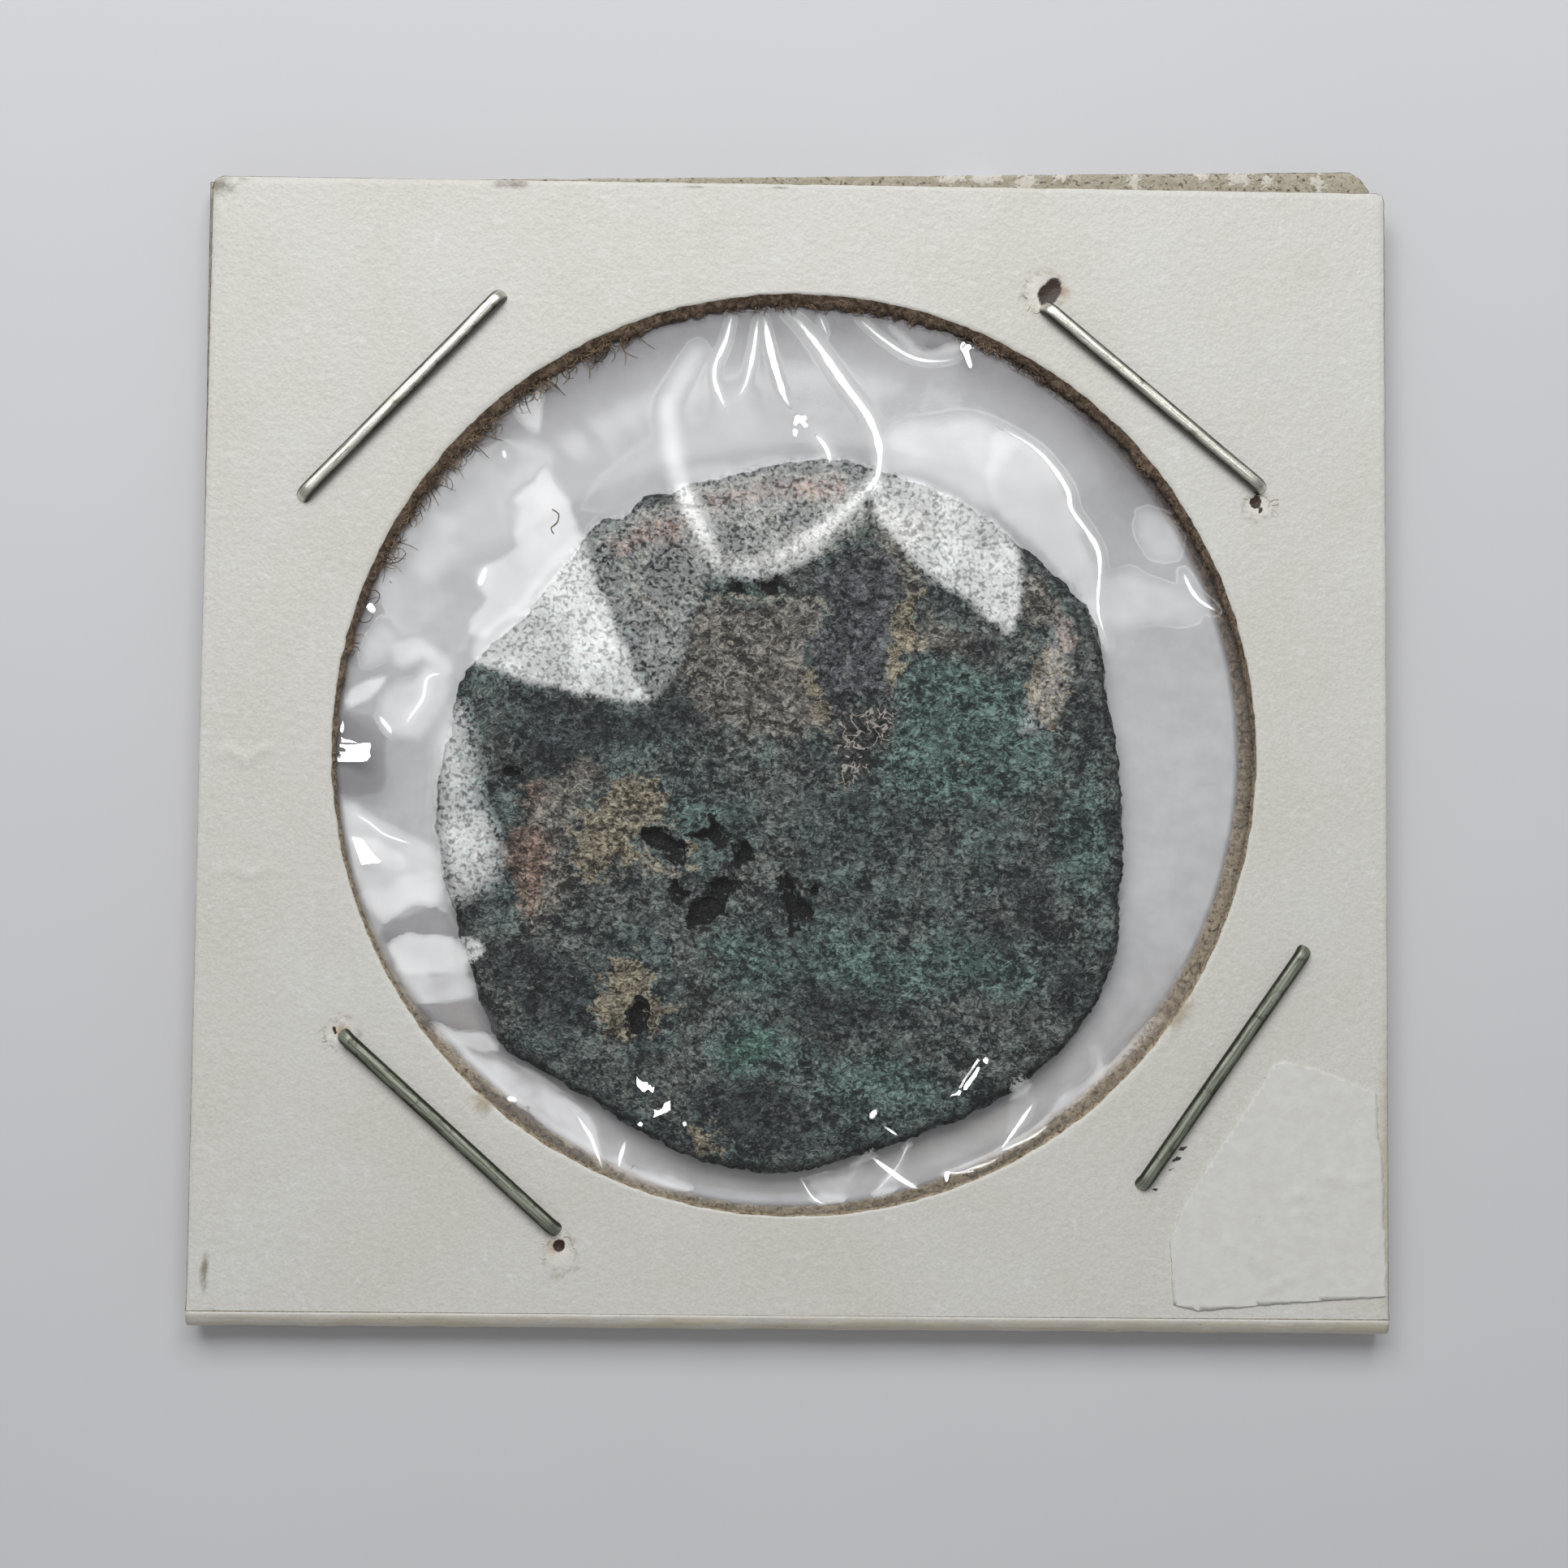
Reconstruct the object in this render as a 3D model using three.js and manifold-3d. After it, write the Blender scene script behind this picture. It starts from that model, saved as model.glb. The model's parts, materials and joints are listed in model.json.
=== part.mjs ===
// A worn bronze coin in a folded cardboard coin holder, stapled shut over two clear film windows.
// Millimetres. +X is to the right and +Y up the front of the card, +Z points out of its front face.
// The card lies on the bent-in legs of its four staples. The fold is at the bottom, the open edge at the top.

import * as THREE from 'three';
import { mergeVertices } from 'three/addons/utils/BufferGeometryUtils.js';
import Module from 'manifold-3d';

// The folded card: two leaves of one board, with a die-cut round window in each
const CARD_WIDTH = 50.8;
const CARD_HEIGHT = 49.2;
const BOARD_THICKNESS = 0.55;
const WINDOW_DIAMETER = 39.5;
const CORNER_WEAR = 0.35;

// The back leaf was folded a little askew, so it shows past the front leaf at the left and the top
const BACK_WINDOW_DIAMETER = 39.0;
const BACK_WINDOW_SHIFT = -0.3;
const BACK_LEAN_LEFT = 0.3;
const BACK_LEAN_RIGHT = 0.45;
const BACK_RISE_RIGHT = 1.2;
const BACK_CORNER_WEAR = 0.6;

// The clear films, glued to the inner face of each leaf and drawn over the coin
const FILM_THICKNESS = 0.1;
const FILM_PARTING = 0.1;
const FILM_EDGE_INSET = 0.5;
const FILM_FOOT_INSET = 0.35;
const FILM_TENT_STEPS = 4;

// The coin, and its place in the pocket: slid down until a little short of the window's edge
const COIN_THICKNESS = 1.5;
const COIN_EDGE_ROUNDING = 0.3;
const COIN_FACE_CLEARANCE = 0.1;
const COIN_SIDE_CLEARANCE = 0.3;
const COIN_TO_WINDOW = 1.1;
const COIN_SLIDE_DIRECTION = -93;

// The coin's worn outline: direction in degrees, and distance from its axis as a share of the mean radius
const COIN_RADIUS = 15.2;
const COIN_OUTLINE = [
  [7, 0.947], [20, 0.964], [30, 1.016], [36, 1.036], [47, 1.026], [62, 1.023], [76, 1.03],
  [84, 1.036], [92, 1.016], [101, 0.997], [110, 0.997], [116, 1.007], [119.5, 0.98], [123, 1.013],
  [128, 0.987], [135, 0.957], [144, 0.954], [151, 0.98], [157, 1.02], [163, 1], [177, 1.007],
  [190, 0.993], [200, 0.987], [210, 1.01], [218, 1.036], [224, 1.013], [233, 0.974], [243, 0.977],
  [256, 0.997], [270, 1], [280, 0.974], [291, 0.964], [302, 0.98], [314, 0.997], [325, 1.013],
  [337, 1], [348, 0.961],
];

// The staples: flat steel wire, driven from the front and bent in flat against the back
const STAPLE_CROWN = 12.6;
const WIRE_WIDTH = 0.62;
const WIRE_THICKNESS = 0.5;
const STAPLE_BEND = 0.65;
const STAPLE_CLINCH = 4.4;
const STAPLE_CLEARANCE = 0.2;

// Each staple's middle lies in a direction from the window's centre, this far outside its edge
const STAPLES = [
  { name: 'staple_top_left', direction: 138.5, fromWindow: 3.0, turn: 46.7 },
  { name: 'staple_top_right', direction: 45.2, fromWindow: 1.95, turn: -39.8 },
  { name: 'staple_bottom_left', direction: -131.5, fromWindow: 2.05, turn: -41.7 },
  { name: 'staple_bottom_right', direction: -36, fromWindow: 2.9, turn: 55.2 },
];

// The torn paper label. Its torn edge runs beside the lower right staple: each corner's distance along
// the wire from its middle, and out from it. The rest is measured in from the right edge and up from the fold.
const LABEL_THICKNESS = 0.1;
const LABEL_TORN_EDGE = [
  [2.0, 2.25], [0.55, 1.2], [-0.6, 0.7], [-3.0, 0.95], [-4.5, 1.15], [-5.85, 1.35], [-6.35, 2.05],
];
const LABEL_CUT_EDGE = [
  [8.75, 2.55], [9.0, 1.85], [8.35, 1.0], [6.4, 1.25], [0.15, 1.55], [0.2, 2.35], [0.35, 4.3],
  [0.15, 6.8], [0.3, 8.7], [0.45, 9.05], [0.55, 10.15],
];

// Fineness of round shapes
const WINDOW_SIDES = 96;
const COIN_SIDES = 120;
const CORNER_STEPS = 4;

// Levels through the stack, worked out from the pieces' thicknesses
const backLow = WIRE_THICKNESS;
const backHigh = backLow + BOARD_THICKNESS;
const frontLow = backHigh + 2 * FILM_THICKNESS + FILM_PARTING;
const frontHigh = frontLow + BOARD_THICKNESS;
const middle = (backHigh + frontLow) / 2;
const crownHigh = frontHigh + WIRE_THICKNESS;

// Places on the card, whose own centre is the centre of the front window
const right = CARD_WIDTH / 2;
const top = CARD_HEIGHT / 2;
const foldRadius = (frontHigh - backLow) / 2;
const foldLine = foldRadius - top;

const degrees = THREE.MathUtils.degToRad;

const wasm = await Module();
wasm.setup();

// A closed geometry as a solid that can be cut or joined
function toSolid(geometry) {
  const bare = geometry.clone();
  bare.deleteAttribute('normal');
  bare.deleteAttribute('uv');
  const merged = mergeVertices(bare);
  const mesh = new wasm.Mesh({
    numProp: 3,
    vertProperties: new Float32Array(merged.attributes.position.array),
    triVerts: new Uint32Array(merged.index.array),
  });
  return new wasm.Manifold(mesh);
}

function toGeometry(solid) {
  const mesh = solid.getMesh();
  const geometry = new THREE.BufferGeometry();
  geometry.setAttribute('position', new THREE.BufferAttribute(mesh.vertProperties, 3));
  geometry.setIndex(new THREE.BufferAttribute(mesh.triVerts, 1));
  geometry.computeVertexNormals();
  return geometry;
}

function cut(geometry, cutters) {
  let solid = toSolid(geometry);
  for (const cutter of cutters) {
    solid = solid.subtract(toSolid(cutter));
  }
  return toGeometry(solid);
}

// A flat outline whose corners are worn round, each with its own wear
function wornOutline(corners) {
  const shape = new THREE.Shape();
  const toward = (from, to, distance) => {
    const length = Math.hypot(to.x - from.x, to.y - from.y);
    const share = Math.min(distance / length, 0.5);
    return [from.x + (to.x - from.x) * share, from.y + (to.y - from.y) * share];
  };
  corners.forEach((corner, index) => {
    const before = corners[(index + corners.length - 1) % corners.length];
    const after = corners[(index + 1) % corners.length];
    const start = toward(corner, before, corner.wear);
    const end = toward(corner, after, corner.wear);
    if (index === 0) {
      shape.moveTo(...start);
    } else {
      shape.lineTo(...start);
    }
    if (corner.wear > 0) {
      shape.quadraticCurveTo(corner.x, corner.y, ...end);
    }
  });
  shape.closePath();
  return shape;
}

function plate(shape, low, high, steps) {
  const geometry = new THREE.ExtrudeGeometry(shape, {
    depth: high - low,
    bevelEnabled: false,
    curveSegments: steps,
  });
  return geometry.translate(0, 0, low);
}

// A leaf of the card: its worn outline, less the round window and the staples' holes
function leaf(corners, windowX, windowRadius, low, high) {
  const shape = wornOutline(corners);
  const board = plate(shape, low, high, CORNER_STEPS);
  const windowCutter = new THREE.CylinderGeometry(
    windowRadius, windowRadius, 3 * BOARD_THICKNESS, WINDOW_SIDES,
  );
  windowCutter.rotateX(Math.PI / 2);
  windowCutter.translate(windowX, 0, (low + high) / 2);
  return cut(board, [windowCutter, ...stapleHoles]);
}

// The board where it turns over from the back leaf to the front one: half of a round tube
function foldStrip() {
  const section = new THREE.Shape();
  section.absarc(0, 0, foldRadius, Math.PI / 2, Math.PI * 1.5, false);
  section.absarc(0, 0, foldRadius - BOARD_THICKNESS, Math.PI * 1.5, Math.PI / 2, true);
  section.closePath();
  const strip = new THREE.ExtrudeGeometry(section, {
    depth: CARD_WIDTH,
    bevelEnabled: false,
    curveSegments: 3 * CORNER_STEPS,
  });
  const alongX = new THREE.Matrix4().makeBasis(
    new THREE.Vector3(0, 1, 0),
    new THREE.Vector3(0, 0, 1),
    new THREE.Vector3(1, 0, 0),
  );
  strip.applyMatrix4(alongX);
  return strip.translate(-right, foldLine, middle);
}

// A staple lying along X about its own middle: crown on the front, legs bent in on the back
function stapleWire() {
  const half = STAPLE_CROWN / 2;
  const inner = STAPLE_BEND - WIRE_THICKNESS;
  const bendX = half - STAPLE_BEND;
  const tipX = half - STAPLE_CLINCH;
  const highBend = crownHigh - STAPLE_BEND;
  const quarter = Math.PI / 2;
  const side = new THREE.Shape();
  side.moveTo(-tipX, 0);
  side.lineTo(-bendX, 0);
  side.absarc(-bendX, STAPLE_BEND, STAPLE_BEND, 3 * quarter, 2 * quarter, true);
  side.absarc(-bendX, highBend, STAPLE_BEND, 2 * quarter, quarter, true);
  side.absarc(bendX, highBend, STAPLE_BEND, quarter, 0, true);
  side.absarc(bendX, STAPLE_BEND, STAPLE_BEND, 0, -quarter, true);
  side.lineTo(tipX, 0);
  side.lineTo(tipX, WIRE_THICKNESS);
  side.absarc(bendX, STAPLE_BEND, inner, -quarter, 0, false);
  side.absarc(bendX, highBend, inner, 0, quarter, false);
  side.absarc(-bendX, highBend, inner, quarter, 2 * quarter, false);
  side.absarc(-bendX, STAPLE_BEND, inner, 2 * quarter, 3 * quarter, false);
  side.lineTo(-tipX, WIRE_THICKNESS);
  side.closePath();
  const wire = new THREE.ExtrudeGeometry(side, {
    depth: WIRE_WIDTH,
    bevelEnabled: false,
    curveSegments: CORNER_STEPS,
  });
  const standing = new THREE.Matrix4().makeBasis(
    new THREE.Vector3(1, 0, 0),
    new THREE.Vector3(0, 0, 1),
    new THREE.Vector3(0, -1, 0),
  );
  wire.applyMatrix4(standing);
  return wire.translate(0, WIRE_WIDTH / 2, 0);
}

function staplePlace(staple) {
  const distance = WINDOW_DIAMETER / 2 + staple.fromWindow;
  const direction = degrees(staple.direction);
  return [distance * Math.cos(direction), distance * Math.sin(direction)];
}

// The two holes that a staple's legs pass through, as solids to cut with
function legHoles(staple) {
  const length = STAPLE_BEND + 2 * STAPLE_CLEARANCE;
  const width = WIRE_WIDTH + 2 * STAPLE_CLEARANCE;
  const [x, y] = staplePlace(staple);
  return [-1, 1].map((end) => {
    const hole = new THREE.BoxGeometry(length, width, 2 * crownHigh);
    hole.translate(end * (STAPLE_CROWN - STAPLE_BEND) / 2, 0, middle);
    hole.rotateZ(degrees(staple.turn));
    return hole.translate(x, y, 0);
  });
}

// The coin's outline as a smooth closed curve through its measured points
function coinOutline() {
  const knots = COIN_OUTLINE.map(([direction, share]) => new THREE.Vector3(
    COIN_RADIUS * share * Math.cos(degrees(direction)),
    COIN_RADIUS * share * Math.sin(degrees(direction)),
    0,
  ));
  const curve = new THREE.CatmullRomCurve3(knots, true, 'centripetal');
  return curve.getPoints(COIN_SIDES).slice(0, COIN_SIDES);
}

function coinSolid(outline) {
  const shape = new THREE.Shape(outline.map((point) => new THREE.Vector2(point.x, point.y)));
  const depth = COIN_THICKNESS - 2 * COIN_EDGE_ROUNDING;
  const coin = new THREE.ExtrudeGeometry(shape, {
    depth,
    bevelEnabled: true,
    bevelThickness: COIN_EDGE_ROUNDING,
    bevelSize: COIN_EDGE_ROUNDING,
    bevelOffset: -COIN_EDGE_ROUNDING,
    bevelSegments: 3,
  });
  return coin.translate(0, 0, -depth / 2);
}

// The label's outline: torn beside a staple, cut along the card's edge and fold
function labelOutline(staple) {
  const [x, y] = staplePlace(staple);
  const turn = degrees(staple.turn);
  const torn = LABEL_TORN_EDGE.map(([along, out]) => new THREE.Vector2(
    x + along * Math.cos(turn) + out * Math.sin(turn),
    y + along * Math.sin(turn) - out * Math.cos(turn),
  ));
  const straight = LABEL_CUT_EDGE.map(
    ([fromRight, fromFold]) => new THREE.Vector2(right - fromRight, fromFold - top),
  );
  return new THREE.Shape([...torn, ...straight]);
}

function circleRing(x, y, radius, high, low) {
  const points = [];
  for (let step = 0; step < WINDOW_SIDES; step += 1) {
    const angle = (2 * Math.PI * step) / WINDOW_SIDES;
    points.push([x + radius * Math.cos(angle), y + radius * Math.sin(angle)]);
  }
  return { points, high, low };
}

// A ring that follows a rectangle, with a point on each of its corners
function rectangleRing(x, y, halfWidth, halfHeight, high, low) {
  const points = circleRing(0, 0, 1, high, low).points.map(([across, up]) => {
    const reach = Math.max(Math.abs(across), Math.abs(up));
    return [x + (halfWidth * across) / reach, y + (halfHeight * up) / reach];
  });
  return { points, high, low };
}

// A closed sheet from rings that run outwards, each with an upper and a lower level
function sheetThrough(rings, centreX, centreY) {
  const count = WINDOW_SIDES;
  const positions = [];
  const faces = [];
  for (const ring of rings) {
    ring.points.forEach(([x, y]) => positions.push(x, y, ring.high));
    ring.points.forEach(([x, y]) => positions.push(x, y, ring.low));
  }
  const highCentre = positions.length / 3;
  const lowCentre = highCentre + 1;
  positions.push(centreX, centreY, rings[0].high);
  positions.push(centreX, centreY, rings[0].low);
  const quad = (a, b, c, d) => faces.push(a, b, c, a, c, d);
  for (let step = 0; step < count; step += 1) {
    const next = (step + 1) % count;
    faces.push(highCentre, step, next);
    faces.push(lowCentre, count + next, count + step);
    for (let index = 0; index + 1 < rings.length; index += 1) {
      const inner = 2 * count * index;
      const outer = inner + 2 * count;
      quad(inner + step, outer + step, outer + next, inner + next);
      quad(inner + count + next, outer + count + next, outer + count + step, inner + count + step);
    }
    const edge = 2 * count * (rings.length - 1);
    quad(edge + count + step, edge + count + next, edge + next, edge + step);
  }
  const geometry = new THREE.BufferGeometry();
  geometry.setAttribute('position', new THREE.Float32BufferAttribute(positions, 3));
  geometry.setIndex(faces);
  return geometry;
}

// A film: flat over the coin, a tent down to the window's edge, then flat between the leaves.
// side is 1 for the front film, which rises off the middle plane, and -1 for the back one.
function film(side, windowX, windowRadius, outer) {
  const levels = (away) => {
    const near = middle + side * away;
    const far = middle + side * (away + FILM_THICKNESS);
    return [Math.max(near, far), Math.min(near, far)];
  };
  const crest = COIN_THICKNESS / 2 + COIN_FACE_CLEARANCE;
  const flat = FILM_PARTING / 2;
  const coinRadius = coinReach + COIN_SIDE_CLEARANCE;
  const footRadius = windowRadius - FILM_FOOT_INSET;
  const rings = [];
  for (let step = 0; step <= FILM_TENT_STEPS; step += 1) {
    const share = step / FILM_TENT_STEPS;
    const x = THREE.MathUtils.lerp(coinX, windowX, share);
    const y = THREE.MathUtils.lerp(coinY, 0, share);
    const radius = THREE.MathUtils.lerp(coinRadius, footRadius, share);
    rings.push(circleRing(x, y, radius, ...levels(THREE.MathUtils.lerp(crest, flat, share))));
  }
  rings.push(rectangleRing(outer.x, outer.y, outer.halfWidth, outer.halfHeight, ...levels(flat)));
  return cut(sheetThrough(rings, coinX, coinY), stapleHoles);
}

const stapleHoles = STAPLES.flatMap(legHoles);

// The coin's reach from its own axis, and that axis's place in the pocket
const outline = coinOutline();
const coinReach = Math.max(...outline.map((point) => Math.hypot(point.x, point.y)));
const coinSlide = WINDOW_DIAMETER / 2 - COIN_TO_WINDOW - coinReach;
const coinX = coinSlide * Math.cos(degrees(COIN_SLIDE_DIRECTION));
const coinY = coinSlide * Math.sin(degrees(COIN_SLIDE_DIRECTION));

const frontCorners = [
  { x: -right, y: foldLine, wear: 0 },
  { x: right, y: foldLine, wear: 0 },
  { x: right, y: top, wear: CORNER_WEAR },
  { x: -right, y: top, wear: CORNER_WEAR },
];

const backCorners = [
  { x: -right, y: foldLine, wear: 0 },
  { x: right, y: foldLine, wear: 0 },
  { x: right - BACK_LEAN_RIGHT, y: top + BACK_RISE_RIGHT, wear: BACK_CORNER_WEAR },
  { x: -right - BACK_LEAN_LEFT, y: top, wear: CORNER_WEAR },
];

const filmOuter = {
  x: 0,
  y: (foldLine + top) / 2,
  halfWidth: right - BACK_LEAN_RIGHT - FILM_EDGE_INSET,
  halfHeight: (top - foldLine) / 2 - FILM_EDGE_INSET,
};

const labelShape = labelOutline(STAPLES.find((staple) => staple.name === 'staple_bottom_right'));

// Finishes
function finish(color, roughness, metalness, opacity = 1) {
  return new THREE.MeshStandardMaterial({
    color, roughness, metalness, opacity, transparent: opacity < 1,
  });
}

const bronze = finish('#3f4a44', 0.75, 0.35);
const whiteBoard = finish('#d8d7cb', 0.55, 0);
const clearFilm = finish('#f2f4f6', 0.1, 0, 0.25);
const brightSteel = finish('#b9bdbd', 0.3, 0.95);
const dullSteel = finish('#777a6c', 0.5, 0.8);
const labelPaper = finish('#e3e3dc', 0.6, 0);

function piece(name, geometry, material) {
  const mesh = new THREE.Mesh(geometry, material);
  mesh.name = name;
  return mesh;
}

const holder = new THREE.Group();

holder.add(piece(
  'front_leaf',
  leaf(frontCorners, 0, WINDOW_DIAMETER / 2, frontLow, frontHigh),
  whiteBoard,
));
holder.add(piece(
  'back_leaf',
  leaf(backCorners, BACK_WINDOW_SHIFT, BACK_WINDOW_DIAMETER / 2, backLow, backHigh),
  whiteBoard,
));
holder.add(piece('fold_strip', foldStrip(), whiteBoard));
holder.add(piece('front_film', film(1, 0, WINDOW_DIAMETER / 2, filmOuter), clearFilm));
holder.add(piece(
  'back_film',
  film(-1, BACK_WINDOW_SHIFT, BACK_WINDOW_DIAMETER / 2, filmOuter),
  clearFilm,
));
holder.add(piece('paper_label', plate(labelShape, frontHigh, frontHigh + LABEL_THICKNESS, 1), labelPaper));

for (const staple of STAPLES) {
  const isTop = staple.direction > 0;
  const wire = piece(staple.name, stapleWire(), isTop ? brightSteel : dullSteel);
  wire.position.set(...staplePlace(staple), 0);
  wire.rotation.z = degrees(staple.turn);
  holder.add(wire);
}

const coin = piece('coin', coinSolid(outline), bronze);
coin.position.set(coinX, coinY, middle);
holder.add(coin);

// The origin is on the table, under the middle of the whole object
const extent = new THREE.Box3().setFromObject(holder);
const centre = extent.getCenter(new THREE.Vector3());
holder.position.set(-centre.x, -centre.y, -extent.min.z);

export default holder;
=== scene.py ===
"""A worn bronze coin in a stapled card holder: the looks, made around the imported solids.

Lengths are in millimetres from the middle of the front window: x to the right, y up the card, z up from what
the card lies on. Every piece is made in them, and settle() takes it to the frame's own metres.
"""

import json
import math
import random

import bmesh
import bpy
import numpy as np
from mathutils import Matrix, Vector, noise


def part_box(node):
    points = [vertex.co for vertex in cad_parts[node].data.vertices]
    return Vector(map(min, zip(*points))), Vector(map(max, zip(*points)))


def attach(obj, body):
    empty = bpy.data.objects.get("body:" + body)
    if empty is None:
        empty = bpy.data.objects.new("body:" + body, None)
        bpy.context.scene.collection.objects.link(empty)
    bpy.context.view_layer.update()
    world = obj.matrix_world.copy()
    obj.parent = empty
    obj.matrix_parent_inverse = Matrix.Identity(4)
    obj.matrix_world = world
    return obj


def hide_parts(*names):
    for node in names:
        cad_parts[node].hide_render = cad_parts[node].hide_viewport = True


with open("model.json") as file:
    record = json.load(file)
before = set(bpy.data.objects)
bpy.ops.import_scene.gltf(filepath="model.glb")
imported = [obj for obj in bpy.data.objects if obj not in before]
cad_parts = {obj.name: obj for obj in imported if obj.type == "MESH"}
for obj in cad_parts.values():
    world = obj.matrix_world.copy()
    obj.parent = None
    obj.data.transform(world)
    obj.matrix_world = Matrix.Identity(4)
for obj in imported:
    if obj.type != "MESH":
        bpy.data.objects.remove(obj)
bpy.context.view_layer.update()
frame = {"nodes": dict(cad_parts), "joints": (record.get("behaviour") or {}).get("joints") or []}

MM = 0.001

# The card's sizes, and the levels of its layers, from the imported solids
CARD_WIDTH = 50.8
CARD_HEIGHT = 49.2
WINDOW_RADIUS = 19.75
BACK_WINDOW_RADIUS = 19.5
BACK_WINDOW_X = -0.3
FOLD_RADIUS = 0.7
BOARD = 0.55

leaf_low, leaf_high = (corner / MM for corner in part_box("front_leaf"))
back_low, back_high = (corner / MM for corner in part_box("back_leaf"))
coin_low, coin_high = (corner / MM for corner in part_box("coin"))

RIGHT = CARD_WIDTH / 2 - 0.0005
TOP = CARD_HEIGHT / 2
FOLD_LINE = FOLD_RADIUS - TOP
ORIGIN = Vector(((leaf_low.x + leaf_high.x) / 2, leaf_high.y - TOP, 0))
FRONT_LEVELS = (leaf_low.z, leaf_high.z)
BACK_LEVELS = (back_low.z, back_high.z)
MIDDLE = (leaf_low.z + back_high.z) / 2

# The coin's axis, its reach, and the circle that stays free for it to turn in
coin_joint = next(joint for joint in frame["joints"] if joint["name"] == "coin_turn")
COIN_X = coin_joint["pos_m"][0] / MM - ORIGIN.x
COIN_Y = coin_joint["pos_m"][1] / MM - ORIGIN.y
COIN_HALF = (coin_high.z - coin_low.z) / 2
COIN_CIRCLE = 16.1

# The films: how far their inner faces stand from the middle of the pocket, on the coin and between the leaves
FILM_CREST = 0.8
FILM_FLAT = 0.05
FILM_SKIN = 0.06

# The camera: its place, its turn in degrees and its lens
CAMERA_PLACE = (-1.891, -7.703, 102.61)
CAMERA_TURN = (3.207, -0.928, 0.587)
CAMERA_LENS = 54.26
SENSOR = 36.0

# The room's window, as a flat light: its brightness, its directions in degrees, how far off it is and its
# size. And the light of the room itself
WINDOW_LIGHT = 4.35
WINDOW_LIGHT_TILT = 36.0
WINDOW_LIGHT_SIDE = -4.0
WINDOW_LIGHT_AWAY = 210.0
WINDOW_LIGHT_SIZE = (200.0, 116.0)
ROOM_LIGHT = 0.23


# Colours


def ink(red, green, blue):
    """A colour as the eye names it, 0 to 255, as the light that the shader sums with."""
    return tuple(
        (c / 12.92 if c <= 0.04045 else ((c + 0.055) / 1.055) ** 2.4)
        for c in (red / 255, green / 255, blue / 255)
    ) + (1.0,)


class Flow:
    """One value on its way through a material. A sum written with it adds the node that works it out."""

    def __init__(self, finish, socket):
        self.finish = finish
        self.socket = socket

    def maths(self, operation, *others):
        values = dict(enumerate((self, *others)))
        return self.finish.node("ShaderNodeMath", {"operation": operation}, values)

    def __add__(self, other):
        return self.maths("ADD", other)

    def __sub__(self, other):
        return self.maths("SUBTRACT", other)

    def __mul__(self, other):
        return self.maths("MULTIPLY", other)

    def __pow__(self, other):
        return self.maths("POWER", other)

    def __rsub__(self, other):
        return self.finish.node("ShaderNodeMath", {"operation": "SUBTRACT"}, {0: other, 1: self})

    __radd__ = __add__

    def size(self):
        """The value without its sign."""
        return self.maths("ABSOLUTE")

    def rise(self, low, high):
        """0 below low, 1 above high, and smooth between them."""
        return self.finish.node(
            "ShaderNodeMapRange",
            {"interpolation_type": "SMOOTHSTEP"},
            {"Value": self, "From Min": low, "From Max": high},
        )


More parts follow.
